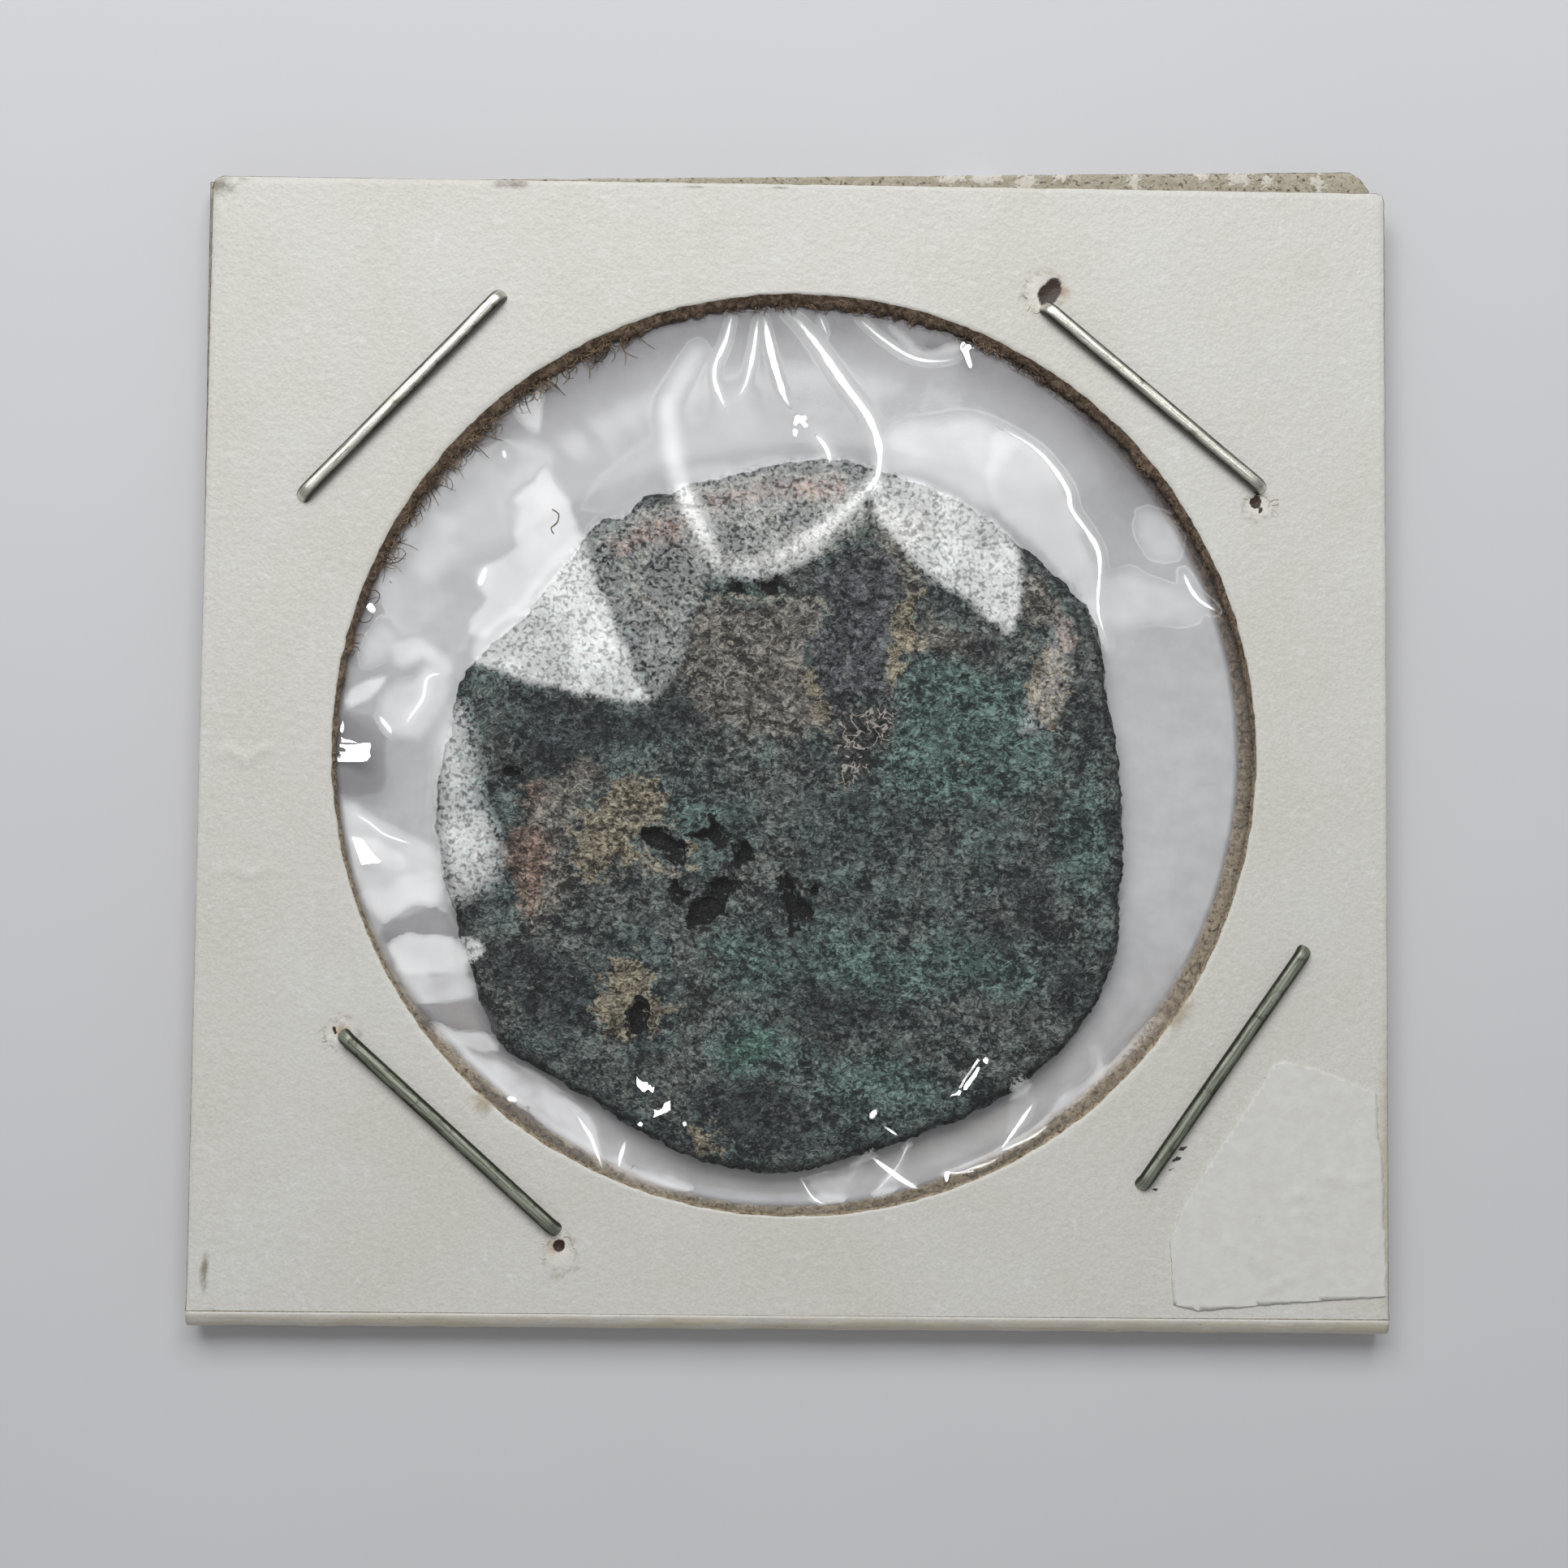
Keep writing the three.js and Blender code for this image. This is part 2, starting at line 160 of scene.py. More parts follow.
class Finish:
    """A material as it is put together."""

    def __init__(self, name):
        self.material = bpy.data.materials.new(name)
        self.material.use_nodes = True
        self.nodes = self.material.node_tree.nodes
        self.links = self.material.node_tree.links
        self.nodes.clear()
        self.place_mm = None

    def node(self, kind, settings=None, values=None, output=0):
        made = self.nodes.new(kind)
        for name, value in (settings or {}).items():
            setattr(made, name, value)
        for name, value in (values or {}).items():
            if isinstance(value, Flow):
                self.links.new(value.socket, made.inputs[name])
            else:
                made.inputs[name].default_value = value
        return Flow(self, made.outputs[output])

    def place(self):
        """Where a point is, in millimetres from the middle of the front window."""
        if self.place_mm is None:
            metres = self.node("ShaderNodeTexCoord", output="Object")
            scaled = {0: metres, 1: (1 / MM,) * 3, 2: -ORIGIN}
            self.place_mm = self.node("ShaderNodeVectorMath", {"operation": "MULTIPLY_ADD"}, scaled)
        return self.place_mm

    def painted(self, name):
        """A value painted on the mesh."""
        return self.node("ShaderNodeAttribute", {"attribute_name": name}, output="Fac")

    def grain(self, per_mm, detail=2.0, roughness=0.5, distortion=0.0, at=None):
        """Noise from 0 to 1 with about so many lumps to the millimetre."""
        values = {
            "Vector": at or self.place(),
            "Scale": per_mm,
            "Detail": detail,
            "Roughness": roughness,
            "Distortion": distortion,
        }
        return self.node("ShaderNodeTexNoise", {"noise_dimensions": "3D"}, values)

    def stretched(self, factors, at=None):
        """The place, or another one, with its three directions stretched apart."""
        values = {0: at or self.place(), 1: factors}
        return self.node("ShaderNodeVectorMath", {"operation": "MULTIPLY"}, values)

    def direction(self, across, along, up):
        """A place or a direction put together from three numbers."""
        return self.node("ShaderNodeCombineXYZ", None, {0: across, 1: along, 2: up})

    def unit(self, direction):
        """The direction at length 1, as a surface's own has to be."""
        return self.node("ShaderNodeVectorMath", {"operation": "NORMALIZE"}, {0: direction})

    def axes(self):
        """The place as three numbers."""
        parted = self.node("ShaderNodeSeparateXYZ", None, {0: self.place()})
        outputs = parted.socket.node.outputs
        return tuple(Flow(self, outputs[index]) for index in range(3))

    def mix(self, first, second, share):
        """From the first colour to the second. The numbers are those of the node's colour sockets."""
        return self.node("ShaderNodeMix", {"data_type": "RGBA"}, {0: share, 6: first, 7: second}, 2)

    def steer(self, first, second, share):
        """From the first direction to the second."""
        settings = {"data_type": "VECTOR", "clamp_factor": True}
        return self.node("ShaderNodeMix", settings, {0: share, 4: first, 5: second}, 1)

    def bump(self, height, depth_mm, strength=1.0):
        values = {"Height": height, "Distance": depth_mm * MM, "Strength": strength}
        return self.node("ShaderNodeBump", None, values)

    def surface(self, **values):
        """Ends the material in one surface whose sockets are named in words."""
        sockets = {name.replace("_", " ").title().replace("Ior", "IOR"): v for name, v in values.items()}
        shader = self.node("ShaderNodeBsdfPrincipled", None, sockets)
        output = self.nodes.new("ShaderNodeOutputMaterial")
        self.links.new(shader.socket, output.inputs["Surface"])
        return self.material


# Mesh making


# How far each seed's noise is taken from the next one's
SEED_SHIFT = (7.3, 3.1, 5.7)

# The value of a point that is in no oval patch
OFF_OVAL = -3.0


def grow(bm, edges, place, finish=0):
    """Extrudes open edges once. place says where each new vertex goes, from the one that it grew from."""
    made = bmesh.ops.extrude_edge_only(bm, edges=edges)["geom"]
    verts = {part for part in made if isinstance(part, bmesh.types.BMVert)}
    for vert in verts:
        vert.co = place(vert)
    for part in made:
        if isinstance(part, bmesh.types.BMFace):
            part.material_index = finish
    return [
        part
        for part in made
        if isinstance(part, bmesh.types.BMEdge) and all(vert in verts for vert in part.verts)
    ]


def to_mesh(bm, name):
    """The finished bmesh as a mesh, its faces turned outwards."""
    bmesh.ops.recalc_face_normals(bm, faces=bm.faces)
    mesh = bpy.data.meshes.new(name)
    bm.to_mesh(mesh)
    bm.free()
    return mesh


def places(mesh):
    """Where the mesh's vertices are, as rows of three."""
    flat = np.empty(len(mesh.vertices) * 3)
    mesh.vertices.foreach_get("co", flat)
    return flat.reshape(-1, 3)


def put(mesh, points):
    mesh.vertices.foreach_set("co", np.ascontiguousarray(points).ravel())


def paint(mesh, name, values):
    """Puts a value on each vertex, for the materials to read."""
    layer = mesh.attributes.new(name, "FLOAT", "POINT")
    layer.data.foreach_set("value", np.asarray(values, np.float32))


def painted(mesh, name):
    """The values that paint() or a bmesh layer has left on the vertices."""
    values = np.empty(len(mesh.vertices), np.float32)
    mesh.attributes[name].data.foreach_get("value", values)
    return values


def settle(mesh, body, finishes, replaces=(), smooth=True):
    """Takes a finished mesh to the frame's metres and puts it on its body."""
    mesh.transform(Matrix.Scale(MM, 4) @ Matrix.Translation(ORIGIN))
    for finish in finishes:
        mesh.materials.append(finish)
    if smooth:
        mesh.shade_smooth()
    piece = bpy.data.objects.new(mesh.name, mesh)
    bpy.context.scene.collection.objects.link(piece)
    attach(piece, body)
    if replaces:
        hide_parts(*replaces)
    return piece


def lumps(points, size, seed, octaves=3):
    """Smooth noise from about -1 to 1 at each point, with lumps about so wide."""
    shift = Vector([seed * step for step in SEED_SHIFT])
    return np.array(
        [noise.fractal(Vector(point) / size + shift, 1.0, 2.0, octaves) for point in points.tolist()]
    )


def ease(values, low, high):
    """0 at low, 1 at high, and smooth between them."""
    share = np.clip((values - low) / (high - low), 0, 1)
    return share * share * (3 - 2 * share)


def smooth_line(knots, step, closed=False):
    """A smooth line through the knots, with points about a step apart."""
    knots = np.array(knots, float)
    count = len(knots)
    spans = count if closed else count - 1
    made = []
    for index in range(spans):
        if closed:
            a, b, c, d = (knots[(index + offset) % count] for offset in (-1, 0, 1, 2))
        else:
            a, b, c, d = (knots[min(max(index + offset, 0), count - 1)] for offset in (-1, 0, 1, 2))
        steps = max(2, int(np.linalg.norm(c - b) / step))
        bend, twist = 2 * a - 5 * b + 4 * c - d, 3 * b - a - 3 * c + d
        for t in np.arange(steps) / steps:
            made.append(0.5 * (2 * b + (c - a) * t + bend * t * t + twist * t ** 3))
    if not closed:
        made.append(knots[-1])
    return np.array(made)


def line_distance(points, line, closed=False):
    """Each point's distance from a line, and how far along the line that is, from 0 to 1."""
    best = np.full(len(points), 1e9)
    along = np.zeros(len(points))
    ends = np.roll(line, -1, axis=0) if closed else line[1:]
    starts = line if closed else line[:-1]
    for index, (start, end) in enumerate(zip(starts, ends)):
        run = end - start
        t = np.clip(((points - start) @ run) / max(run @ run, 1e-12), 0, 1)
        away = np.linalg.norm(points - start - t[:, None] * run, axis=1)
        nearer = away < best
        best[nearer] = away[nearer]
        along[nearer] = (index + t[nearer]) / len(starts)
    return best, along


def inside_depth(points, outline):
    """How far inside a closed outline each point is. Outside it is negative."""
    away, _ = line_distance(points, outline, closed=True)
    inside = np.zeros(len(points), bool)
    for start, end in zip(outline, np.roll(outline, -1, axis=0)):
        crosses = (start[1] > points[:, 1]) != (end[1] > points[:, 1])
        run, rise = end - start
        rise = rise if abs(rise) > 1e-9 else 1e-9
        reach = start[0] + (points[:, 1] - start[1]) / rise * run
        inside ^= crosses & (points[:, 0] < reach)
    return np.where(inside, away, -away)


def patches(points, rows):
    """The deepest that each point lies in any of the oval patches: 1 in a middle, 0 at an edge."""
    deepest = np.full(len(points), OFF_OVAL)
    for x, y, across, along, turn in rows:
        angle = math.radians(turn)
        east = (points[:, 0] - x) * math.cos(angle) + (points[:, 1] - y) * math.sin(angle)
        north = (points[:, 1] - y) * math.cos(angle) - (points[:, 0] - x) * math.sin(angle)
        deepest = np.maximum(deepest, 1 - np.hypot(east / across, north / along))
    return deepest


def swells(degrees, rows, total=0.0):
    """Soft swells round the window, summed. A row is a direction and a spread in degrees, and a height."""
    for middle, spread, height in rows:
        apart = (degrees - middle + 180) % 360 - 180
        total = total + height * np.exp(-((apart / spread) ** 2))
    return total


def disc_place(across, along):
    """A place on a square from -1 to 1 as the matching place on a round disc."""
    if abs(across) < 1e-12 and abs(along) < 1e-12:
        return 0.0, 0.0
    if abs(across) > abs(along):
        radius = across
        turn = math.pi / 4 * along / across
    else:
        radius = along
        turn = math.pi / 2 - math.pi / 4 * across / along
    return radius * math.cos(turn), radius * math.sin(turn)


def disc(steps):
    """A fine round disc of even squares, 1 in radius, in a new bmesh."""
    bm = bmesh.new()
    bmesh.ops.create_grid(bm, x_segments=steps, y_segments=steps, size=1)
    for vert in bm.verts:
        vert.co.x, vert.co.y = disc_place(vert.co.x, vert.co.y)
    return bm


def open_edges(bm):
    return [edge for edge in bm.edges if edge.is_boundary]


# The coin


COIN_STEPS = 190
COIN_EDGE_STEPS = 7
COIN_EDGE_ROUND = 0.45
COIN_THINNING = 0.22
PIT_DEPTH = 0.45

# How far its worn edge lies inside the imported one, and how far waves and nicks move it from there
EDGE_WEAR = 0.08
EDGE_WAVES = 0.17
EDGE_NICKS = 0.16

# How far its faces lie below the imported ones, and how high their broad and their small lumps are
FACE_WEAR = 0.07
BROAD_LUMPS = 0.05
SMALL_LUMPS = 0.028

# How far apart the noise of its two faces is taken
FACES_APART = 9

# The value of a point that is in no patch of its patina
OFF_PATCH = -4.0

# How high the patches stand, and which of them its underside shows as well
PATCH_RISES = {"ochre": 0.035, "pale": 0.04, "rust": 0.02, "grey": -0.03, "black": -0.035, "brown": 0.012}
PATCHES_BELOW = ("green", "dark", "brown")

# Patches of its patina, as outlines on the coin as it lies
PATINA = {
    "green": [
        [(4.4, 3.6), (5.7, 4.3), (7.0, 4.0), (8.3, 3.4), (9.7, 3.0), (9.9, 1.4), (10.9, 0.5), (11.4, -1.0),
         (9.3, -1.8), (7.3, -2.3), (5.4, -2.2), (3.8, -1.6), (3.6, -0.3), (4.4, 1.0)],
        [(4.5, -8.6), (6.4, -7.9), (8.7, -8.2), (10.4, -9.2), (10.7, -10.1), (9.4, -10.5), (7.8, -10.2),
         (6.4, -9.5), (5.0, -9.2)],
        [(3.5, -12.6), (4.5, -12.8), (5.8, -13.7), (6.2, -14.7), (4.2, -15.2), (2.8, -15.2), (1.3, -14.7),
         (1.4, -13.8)],
        [(11.3, -2.0), (12.9, 0.0), (13.2, -2.3), (13.4, -5.6), (12.6, -5.9), (11.6, -6.1), (11.3, -4.8)],
        [(-5.6, -1.8), (-4.6, -2.0), (-3.0, -2.3), (-2.7, -2.9), (-3.7, -3.0), (-4.5, -3.4), (-5.3, -3.0)],
        [(0.6, -7.9), (2.9, -8.0), (5.8, -8.3), (7.4, -9.9), (5.8, -10.6), (2.9, -10.4), (1.2, -9.6),
         (0.3, -8.7)],
        [(-3.9, -8.2), (-2.1, -7.6), (-0.3, -8.4), (-0.9, -10.2), (-2.8, -10.4)],
        [(-3.6, -12.6), (-1.8, -11.6), (-0.2, -11.9), (1.0, -12.8), (-0.6, -13.6), (-2.6, -14.4)],
        [(-14.9, 1.8), (-13.9, 2.9), (-13.6, 0.4), (-13.8, -1.8), (-14.8, -1.4)],
    ],
    "jade": [[(-2.6, -12.7), (-1.8, -12.0), (-0.9, -12.0), (-0.8, -12.8), (-1.6, -13.4), (-2.6, -13.9)]],
    "dark": [
        [(-11.8, 2.8), (-10.2, 2.5), (-8.7, 2.0), (-7.8, 1.4), (-6.5, 1.6), (-5.0, 2.1), (-3.4, 2.1),
         (-3.1, 1.3), (-5.3, 0.6), (-7.6, 0.2), (-9.3, -0.6), (-10.8, -1.6), (-11.7, -2.1)],
        [(-12.9, -8.4), (-10.8, -8.1), (-8.8, -9.4), (-8.5, -11.0), (-9.4, -12.3), (-10.7, -12.0),
         (-12.1, -10.7), (-13.0, -9.7)],
        [(9.0, -4.9), (10.3, -4.6), (11.2, -5.9), (11.2, -7.5), (10.0, -7.9), (9.2, -6.7)],
        [(0.0, -11.0), (0.4, -10.4), (2.1, -10.4), (3.7, -10.8), (3.9, -11.5), (2.7, -11.8), (1.4, -12.0)],
        [(7.3, 4.7), (8.4, 4.8), (9.1, 4.0), (8.6, 3.7), (7.6, 3.9)],
        [(-4.5, -14.6), (-1.5, -13.8), (1.0, -15.2), (0.4, -17.0), (-3.2, -16.6)],
        [(12.0, 4.6), (12.9, 2.4), (12.8, 0.2), (12.1, 1.4)],
        [(11.2, -8.2), (12.6, -9.4), (11.6, -11.4), (10.8, -10.2)],
    ],
    "brown": [
        [(-4.1, 6.5), (-2.8, 6.3), (-1.5, 6.2), (-0.5, 6.4), (0.9, 6.4), (1.1, 5.9), (1.0, 5.1), (0.3, 4.2),
         (0.5, 3.4), (1.0, 2.8), (1.5, 2.0), (1.5, 1.0), (0.5, 0.8), (-0.6, 0.5), (-2.1, 0.8), (-3.4, 1.3),
         (-4.5, 2.2), (-5.0, 2.9), (-4.7, 4.2), (-4.4, 5.5)],
        [(3.4, 9.7), (4.3, 9.2), (5.0, 8.2), (5.3, 7.6), (5.3, 6.9), (4.7, 6.7), (4.3, 7.2), (3.8, 8.0)],
        [(4.7, 5.8), (6.0, 5.6), (7.3, 5.0), (7.6, 4.3), (6.0, 4.3), (5.0, 4.8)],
        [(9.7, 8.1), (10.5, 7.5), (11.0, 6.3), (10.9, 5.7), (10.0, 5.0), (9.7, 5.8), (9.6, 7.0)],
        [(-11.7, -2.1), (-10.8, -1.6), (-9.3, -0.6), (-8.5, -0.4), (-8.0, -1.1), (-8.8, -2.0), (-9.6, -3.0),
         (-9.8, -4.6), (-9.3, -5.7), (-10.0, -6.9), (-11.0, -7.7), (-11.6, -7.4)],
    ],
    "black": [
        [(2.8, 9.1), (2.1, 8.5), (1.2, 7.8), (0.9, 7.3), (1.3, 7.0), (1.1, 6.5), (1.4, 5.9), (1.2, 5.2),
         (0.6, 4.9), (0.3, 4.2), (1.0, 3.6), (1.1, 2.9), (1.5, 2.3), (1.7, 1.5), (2.3, 1.8), (3.2, 2.2),
         (4.1, 2.3), (3.8, 3.1), (3.7, 4.0), (3.9, 4.9), (4.0, 5.9), (4.4, 6.7), (4.2, 7.4), (4.3, 8.2),
         (3.5, 8.8)],
    ],
    "ochre": [
        [(-9.3, -4.9), (-9.4, -3.6), (-8.8, -2.7), (-7.7, -1.7), (-7.1, -1.1), (-6.1, -1.4), (-5.5, -2.0),
         (-5.6, -3.0), (-6.1, -3.4), (-6.7, -3.6), (-7.0, -4.1), (-6.4, -4.4), (-5.7, -4.9), (-5.2, -5.2),
         (-4.6, -4.9), (-4.4, -4.2), (-4.2, -4.2), (-4.4, -5.1), (-4.9, -5.4), (-5.9, -5.3), (-6.9, -4.8),
         (-7.5, -4.6), (-8.1, -5.6), (-8.9, -5.9)],
        [(-8.5, -11.0), (-8.2, -10.2), (-7.4, -9.0), (-6.4, -9.0), (-6.1, -9.8), (-6.2, -10.5),
         (-5.7, -10.6), (-5.2, -11.1), (-5.6, -11.7), (-5.9, -12.1), (-6.1, -11.6), (-6.4, -11.1),
         (-7.0, -11.3), (-6.9, -12.1), (-7.0, -12.4), (-7.8, -12.1), (-8.3, -11.6)],
        [(4.0, 5.9), (4.5, 6.6), (5.3, 6.8), (5.0, 5.6), (5.3, 4.6), (4.9, 4.1), (4.4, 3.6), (4.2, 2.7),
         (3.9, 3.0), (4.0, 4.0)],
        [(0.3, 3.6), (0.7, 3.4), (1.1, 2.6), (1.6, 1.8), (1.4, 1.0), (1.0, 1.5), (0.6, 2.3), (0.5, 2.9)],
        [(10.4, 4.4), (11.2, 4.6), (11.7, 2.8), (11.0, 1.0), (10.2, 1.4), (10.0, 2.8)],
        [(-4.2, -17.2), (-3.2, -17.2), (-3.2, -16.2), (-4.2, -16.0)],
    ],
    "rust": [
        [(-12.4, -4.2), (-12.0, -3.5), (-10.9, -3.4), (-10.4, -4.0), (-10.5, -5.0), (-10.8, -6.0),
         (-11.1, -7.1), (-11.5, -7.1), (-11.8, -5.8), (-12.3, -5.0)],
        [(-11.6, -1.6), (-11.0, -1.6), (-10.7, -2.1), (-11.1, -2.5), (-11.5, -2.3)],
        [(-8.2, 8.7), (-7.2, 9.4), (-6.1, 9.9), (-5.0, 10.1), (-4.8, 9.6), (-5.1, 8.9), (-5.9, 8.9),
         (-7.0, 8.7), (-7.8, 8.3)],
        [(-4.3, 10.9), (-2.9, 11.2), (-1.4, 11.7), (0.2, 11.8), (1.7, 11.6), (2.7, 11.5), (1.9, 11.0),
         (0.4, 10.9), (-1.6, 10.8), (-3.2, 10.6), (-4.1, 10.4)],
        [(11.2, 6.0), (11.8, 5.6), (11.8, 4.4), (11.2, 4.6)],
    ],
    "grey": [
        [(-6.6, 8.2), (-5.9, 8.7), (-5.1, 8.6), (-4.4, 7.8), (-4.6, 6.8), (-5.2, 6.1), (-5.9, 6.1),
         (-6.5, 6.9), (-6.6, 7.6)],
        [(-0.8, 10.1), (-0.4, 10.6), (0.3, 10.6), (0.75, 10.1), (0.5, 9.6), (-0.2, 9.5), (-0.7, 9.7)],
        [(-1.8, 9.2), (-1.6, 9.4), (-1.4, 9.2), (-1.6, 9.0)],
        [(-7.1, 10.4), (-6.6, 11.0), (-5.5, 11.2), (-5.3, 11.7), (-3.8, 12.0), (-2.9, 12.1), (-1.9, 12.5),
         (-0.7, 12.6), (-0.6, 12.2), (-1.9, 12.0), (-2.9, 11.6), (-4.3, 11.3), (-5.0, 11.0), (-5.6, 10.6),
         (-6.4, 10.4)],
        [(-3.8, 9.65), (-3.1, 9.7), (-2.4, 9.5), (-2.2, 8.8), (-2.5, 8.5), (-3.1, 8.7), (-3.6, 9.1)],
    ],
    "ash": [
        [(-7.4, 10.0), (-5.5, 10.6), (-4.4, 11.2), (-3.0, 11.6), (-1.0, 11.8), (1.0, 11.8), (2.8, 11.5),
         (3.8, 10.8), (5.4, 10.6), (6.2, 9.4), (4.8, 8.6), (3.2, 9.6), (2.0, 9.2), (0.8, 8.4), (-0.6, 7.8),
         (-2.2, 7.5), (-3.6, 7.6), (-4.6, 6.2), (-5.4, 5.6), (-6.6, 6.0), (-7.4, 7.4), (-7.8, 8.8)],
    ],
    "pale": [
        [(1.6, 1.0), (2.1, 1.5), (3.1, 1.8), (4.4, 1.7), (4.1, 0.7), (3.4, 0.0), (3.1, -0.9), (2.5, -1.4),
         (1.8, -1.3), (2.0, -0.3), (1.6, 0.4)],
    ],
    "pit": [
        [(-6.7, -3.6), (-6.2, -3.4), (-5.6, -3.3), (-5.3, -3.7), (-4.6, -4.2), (-4.8, -5.0), (-5.3, -4.8),
         (-5.7, -4.3), (-6.2, -4.1)],
        [(-4.5, -3.6), (-3.6, -3.5), (-3.5, -3.0), (-2.9, -3.6), (-3.2, -4.0), (-3.8, -3.8), (-4.4, -3.8)],
        [(-2.4, -4.0), (-2.0, -3.8), (-1.8, -4.3), (-1.9, -4.8), (-2.4, -5.0), (-2.7, -4.7), (-2.4, -4.3)],
        [(-5.2, -5.7), (-4.9, -5.5), (-4.8, -6.0), (-4.5, -6.1), (-4.8, -6.6), (-5.1, -6.5)],
        [(-3.6, -5.7), (-2.7, -5.4), (-2.4, -5.7), (-2.9, -6.3), (-3.0, -7.0), (-3.6, -7.4), (-4.6, -7.8),
         (-4.5, -7.0), (-4.2, -6.5), (-3.6, -6.2)],
        [(-0.5, -5.2), (0.0, -5.7), (0.2, -6.3), (0.6, -6.4), (0.8, -6.9), (0.3, -7.2), (0.0, -7.7),
         (-0.2, -7.3), (-0.3, -6.6), (-0.6, -6.0)],
        [(-6.6, -10.6), (-6.4, -10.5), (-6.1, -11.1), (-6.2, -11.7), (-6.5, -12.2), (-6.9, -12.1),
         (-7.0, -11.3)],
        [(-2.7, 7.2), (-2.4, 7.2), (-2.2, 6.8), (-2.5, 6.7)],
        [(-1.7, 7.4), (-0.8, 7.4), (-0.9, 6.7), (-1.5, 6.7)],
        [(0.8, -5.6), (1.1, -5.8), (0.9, -6.2), (0.7, -6.0)],
        [(-12.4, -0.8), (-11.7, -0.9), (-11.7, -1.3), (-12.4, -1.2)],
    ],
}

# Thin lines of pale crust on it: half width, line
CRUSTS = [
    (0.13, [(-6.9, 10.0), (-6.2, 10.2), (-5.3, 10.5), (-4.3, 11.15), (-3.5, 11.3), (-2.8, 11.4), (-1.9, 11.7),
            (-1.4, 11.9), (-0.6, 12.0), (0.2, 11.8), (1.2, 11.9), (1.9, 12.0), (2.9, 11.5)]),
    (0.15, [(-7.3, 7.8), (-7.2, 7.4), (-6.9, 6.8), (-6.3, 6.2), (-5.8, 5.8)]),
    (0.12, [(-3.4, 6.4), (-2.8, 6.7), (-2.2, 6.5), (-1.5, 6.4), (-0.8, 6.6), (-0.1, 6.3), (0.6, 6.6),
            (1.2, 6.2), (1.5, 5.8)]),
    (0.12, [(-7.2, -3.0), (-6.5, -2.9), (-5.8, -3.1), (-5.1, -3.4)]),
    (0.12, [(-6.6, -4.6), (-5.8, -5.1), (-5.1, -5.4), (-4.5, -5.2), (-4.2, -4.5)]),
]

# Each patch: its dark and its light grain, how far its edge wanders and how soft it is, and how much it hides
PATINA_INKS = {
    "green": (ink(26, 42, 41), ink(142, 175, 167), 1.4, 1.6, 0.85),
    "jade": (ink(32, 62, 55), ink(140, 186, 168), 1.0, 0.8, 0.75),
    "dark": (ink(10, 14, 18), ink(82, 92, 95), 1.2, 0.7, 0.85),
    "ash": (ink(56, 60, 57), ink(186, 188, 178), 0.9, 0.8, 0.85),
    "brown": (ink(56, 51, 48), ink(192, 185, 173), 1.2, 0.8, 0.85),
    "rust": (ink(62, 48, 42), ink(202, 168, 150), 0.8, 0.6, 0.8),
    "grey": (ink(26, 32, 35), ink(98, 105, 104), 0.9, 0.12, 0.9),
    "ochre": (ink(58, 51, 40), ink(208, 196, 168), 1.3, 0.2, 0.9),
    "black": (ink(18, 20, 26), ink(132, 135, 141), 1.4, 0.12, 0.9),
    "pale": (ink(18, 18, 20), ink(88, 86, 84), 0.7, 0.3, 0.8),
    "pit": (ink(0, 1, 2), ink(8, 10, 12), 0.7, 0.05, 1.0),
}


def coin_outline():
    """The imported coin's outline: its reach from the axis in every direction."""
    node = frame["nodes"]["coin"]
    rim = [Vector(vert.co) / MM - ORIGIN for vert in node.data.vertices]
    turned = sorted(
        (math.atan2(point.y - COIN_Y, point.x - COIN_X), math.hypot(point.x - COIN_X, point.y - COIN_Y))
        for point in rim
        if 0 < point.z - MIDDLE < COIN_HALF - 0.1
    )
    return np.array([pair[0] for pair in turned]), np.array([pair[1] for pair in turned])


def patch_depths(flat, outlines):
    """How far inside the nearest of a kind of patch each point is."""
    deepest = np.full(len(flat), OFF_PATCH)
    for outline in outlines:
        deepest = np.maximum(deepest, inside_depth(flat, np.array(outline, float)))
    return deepest


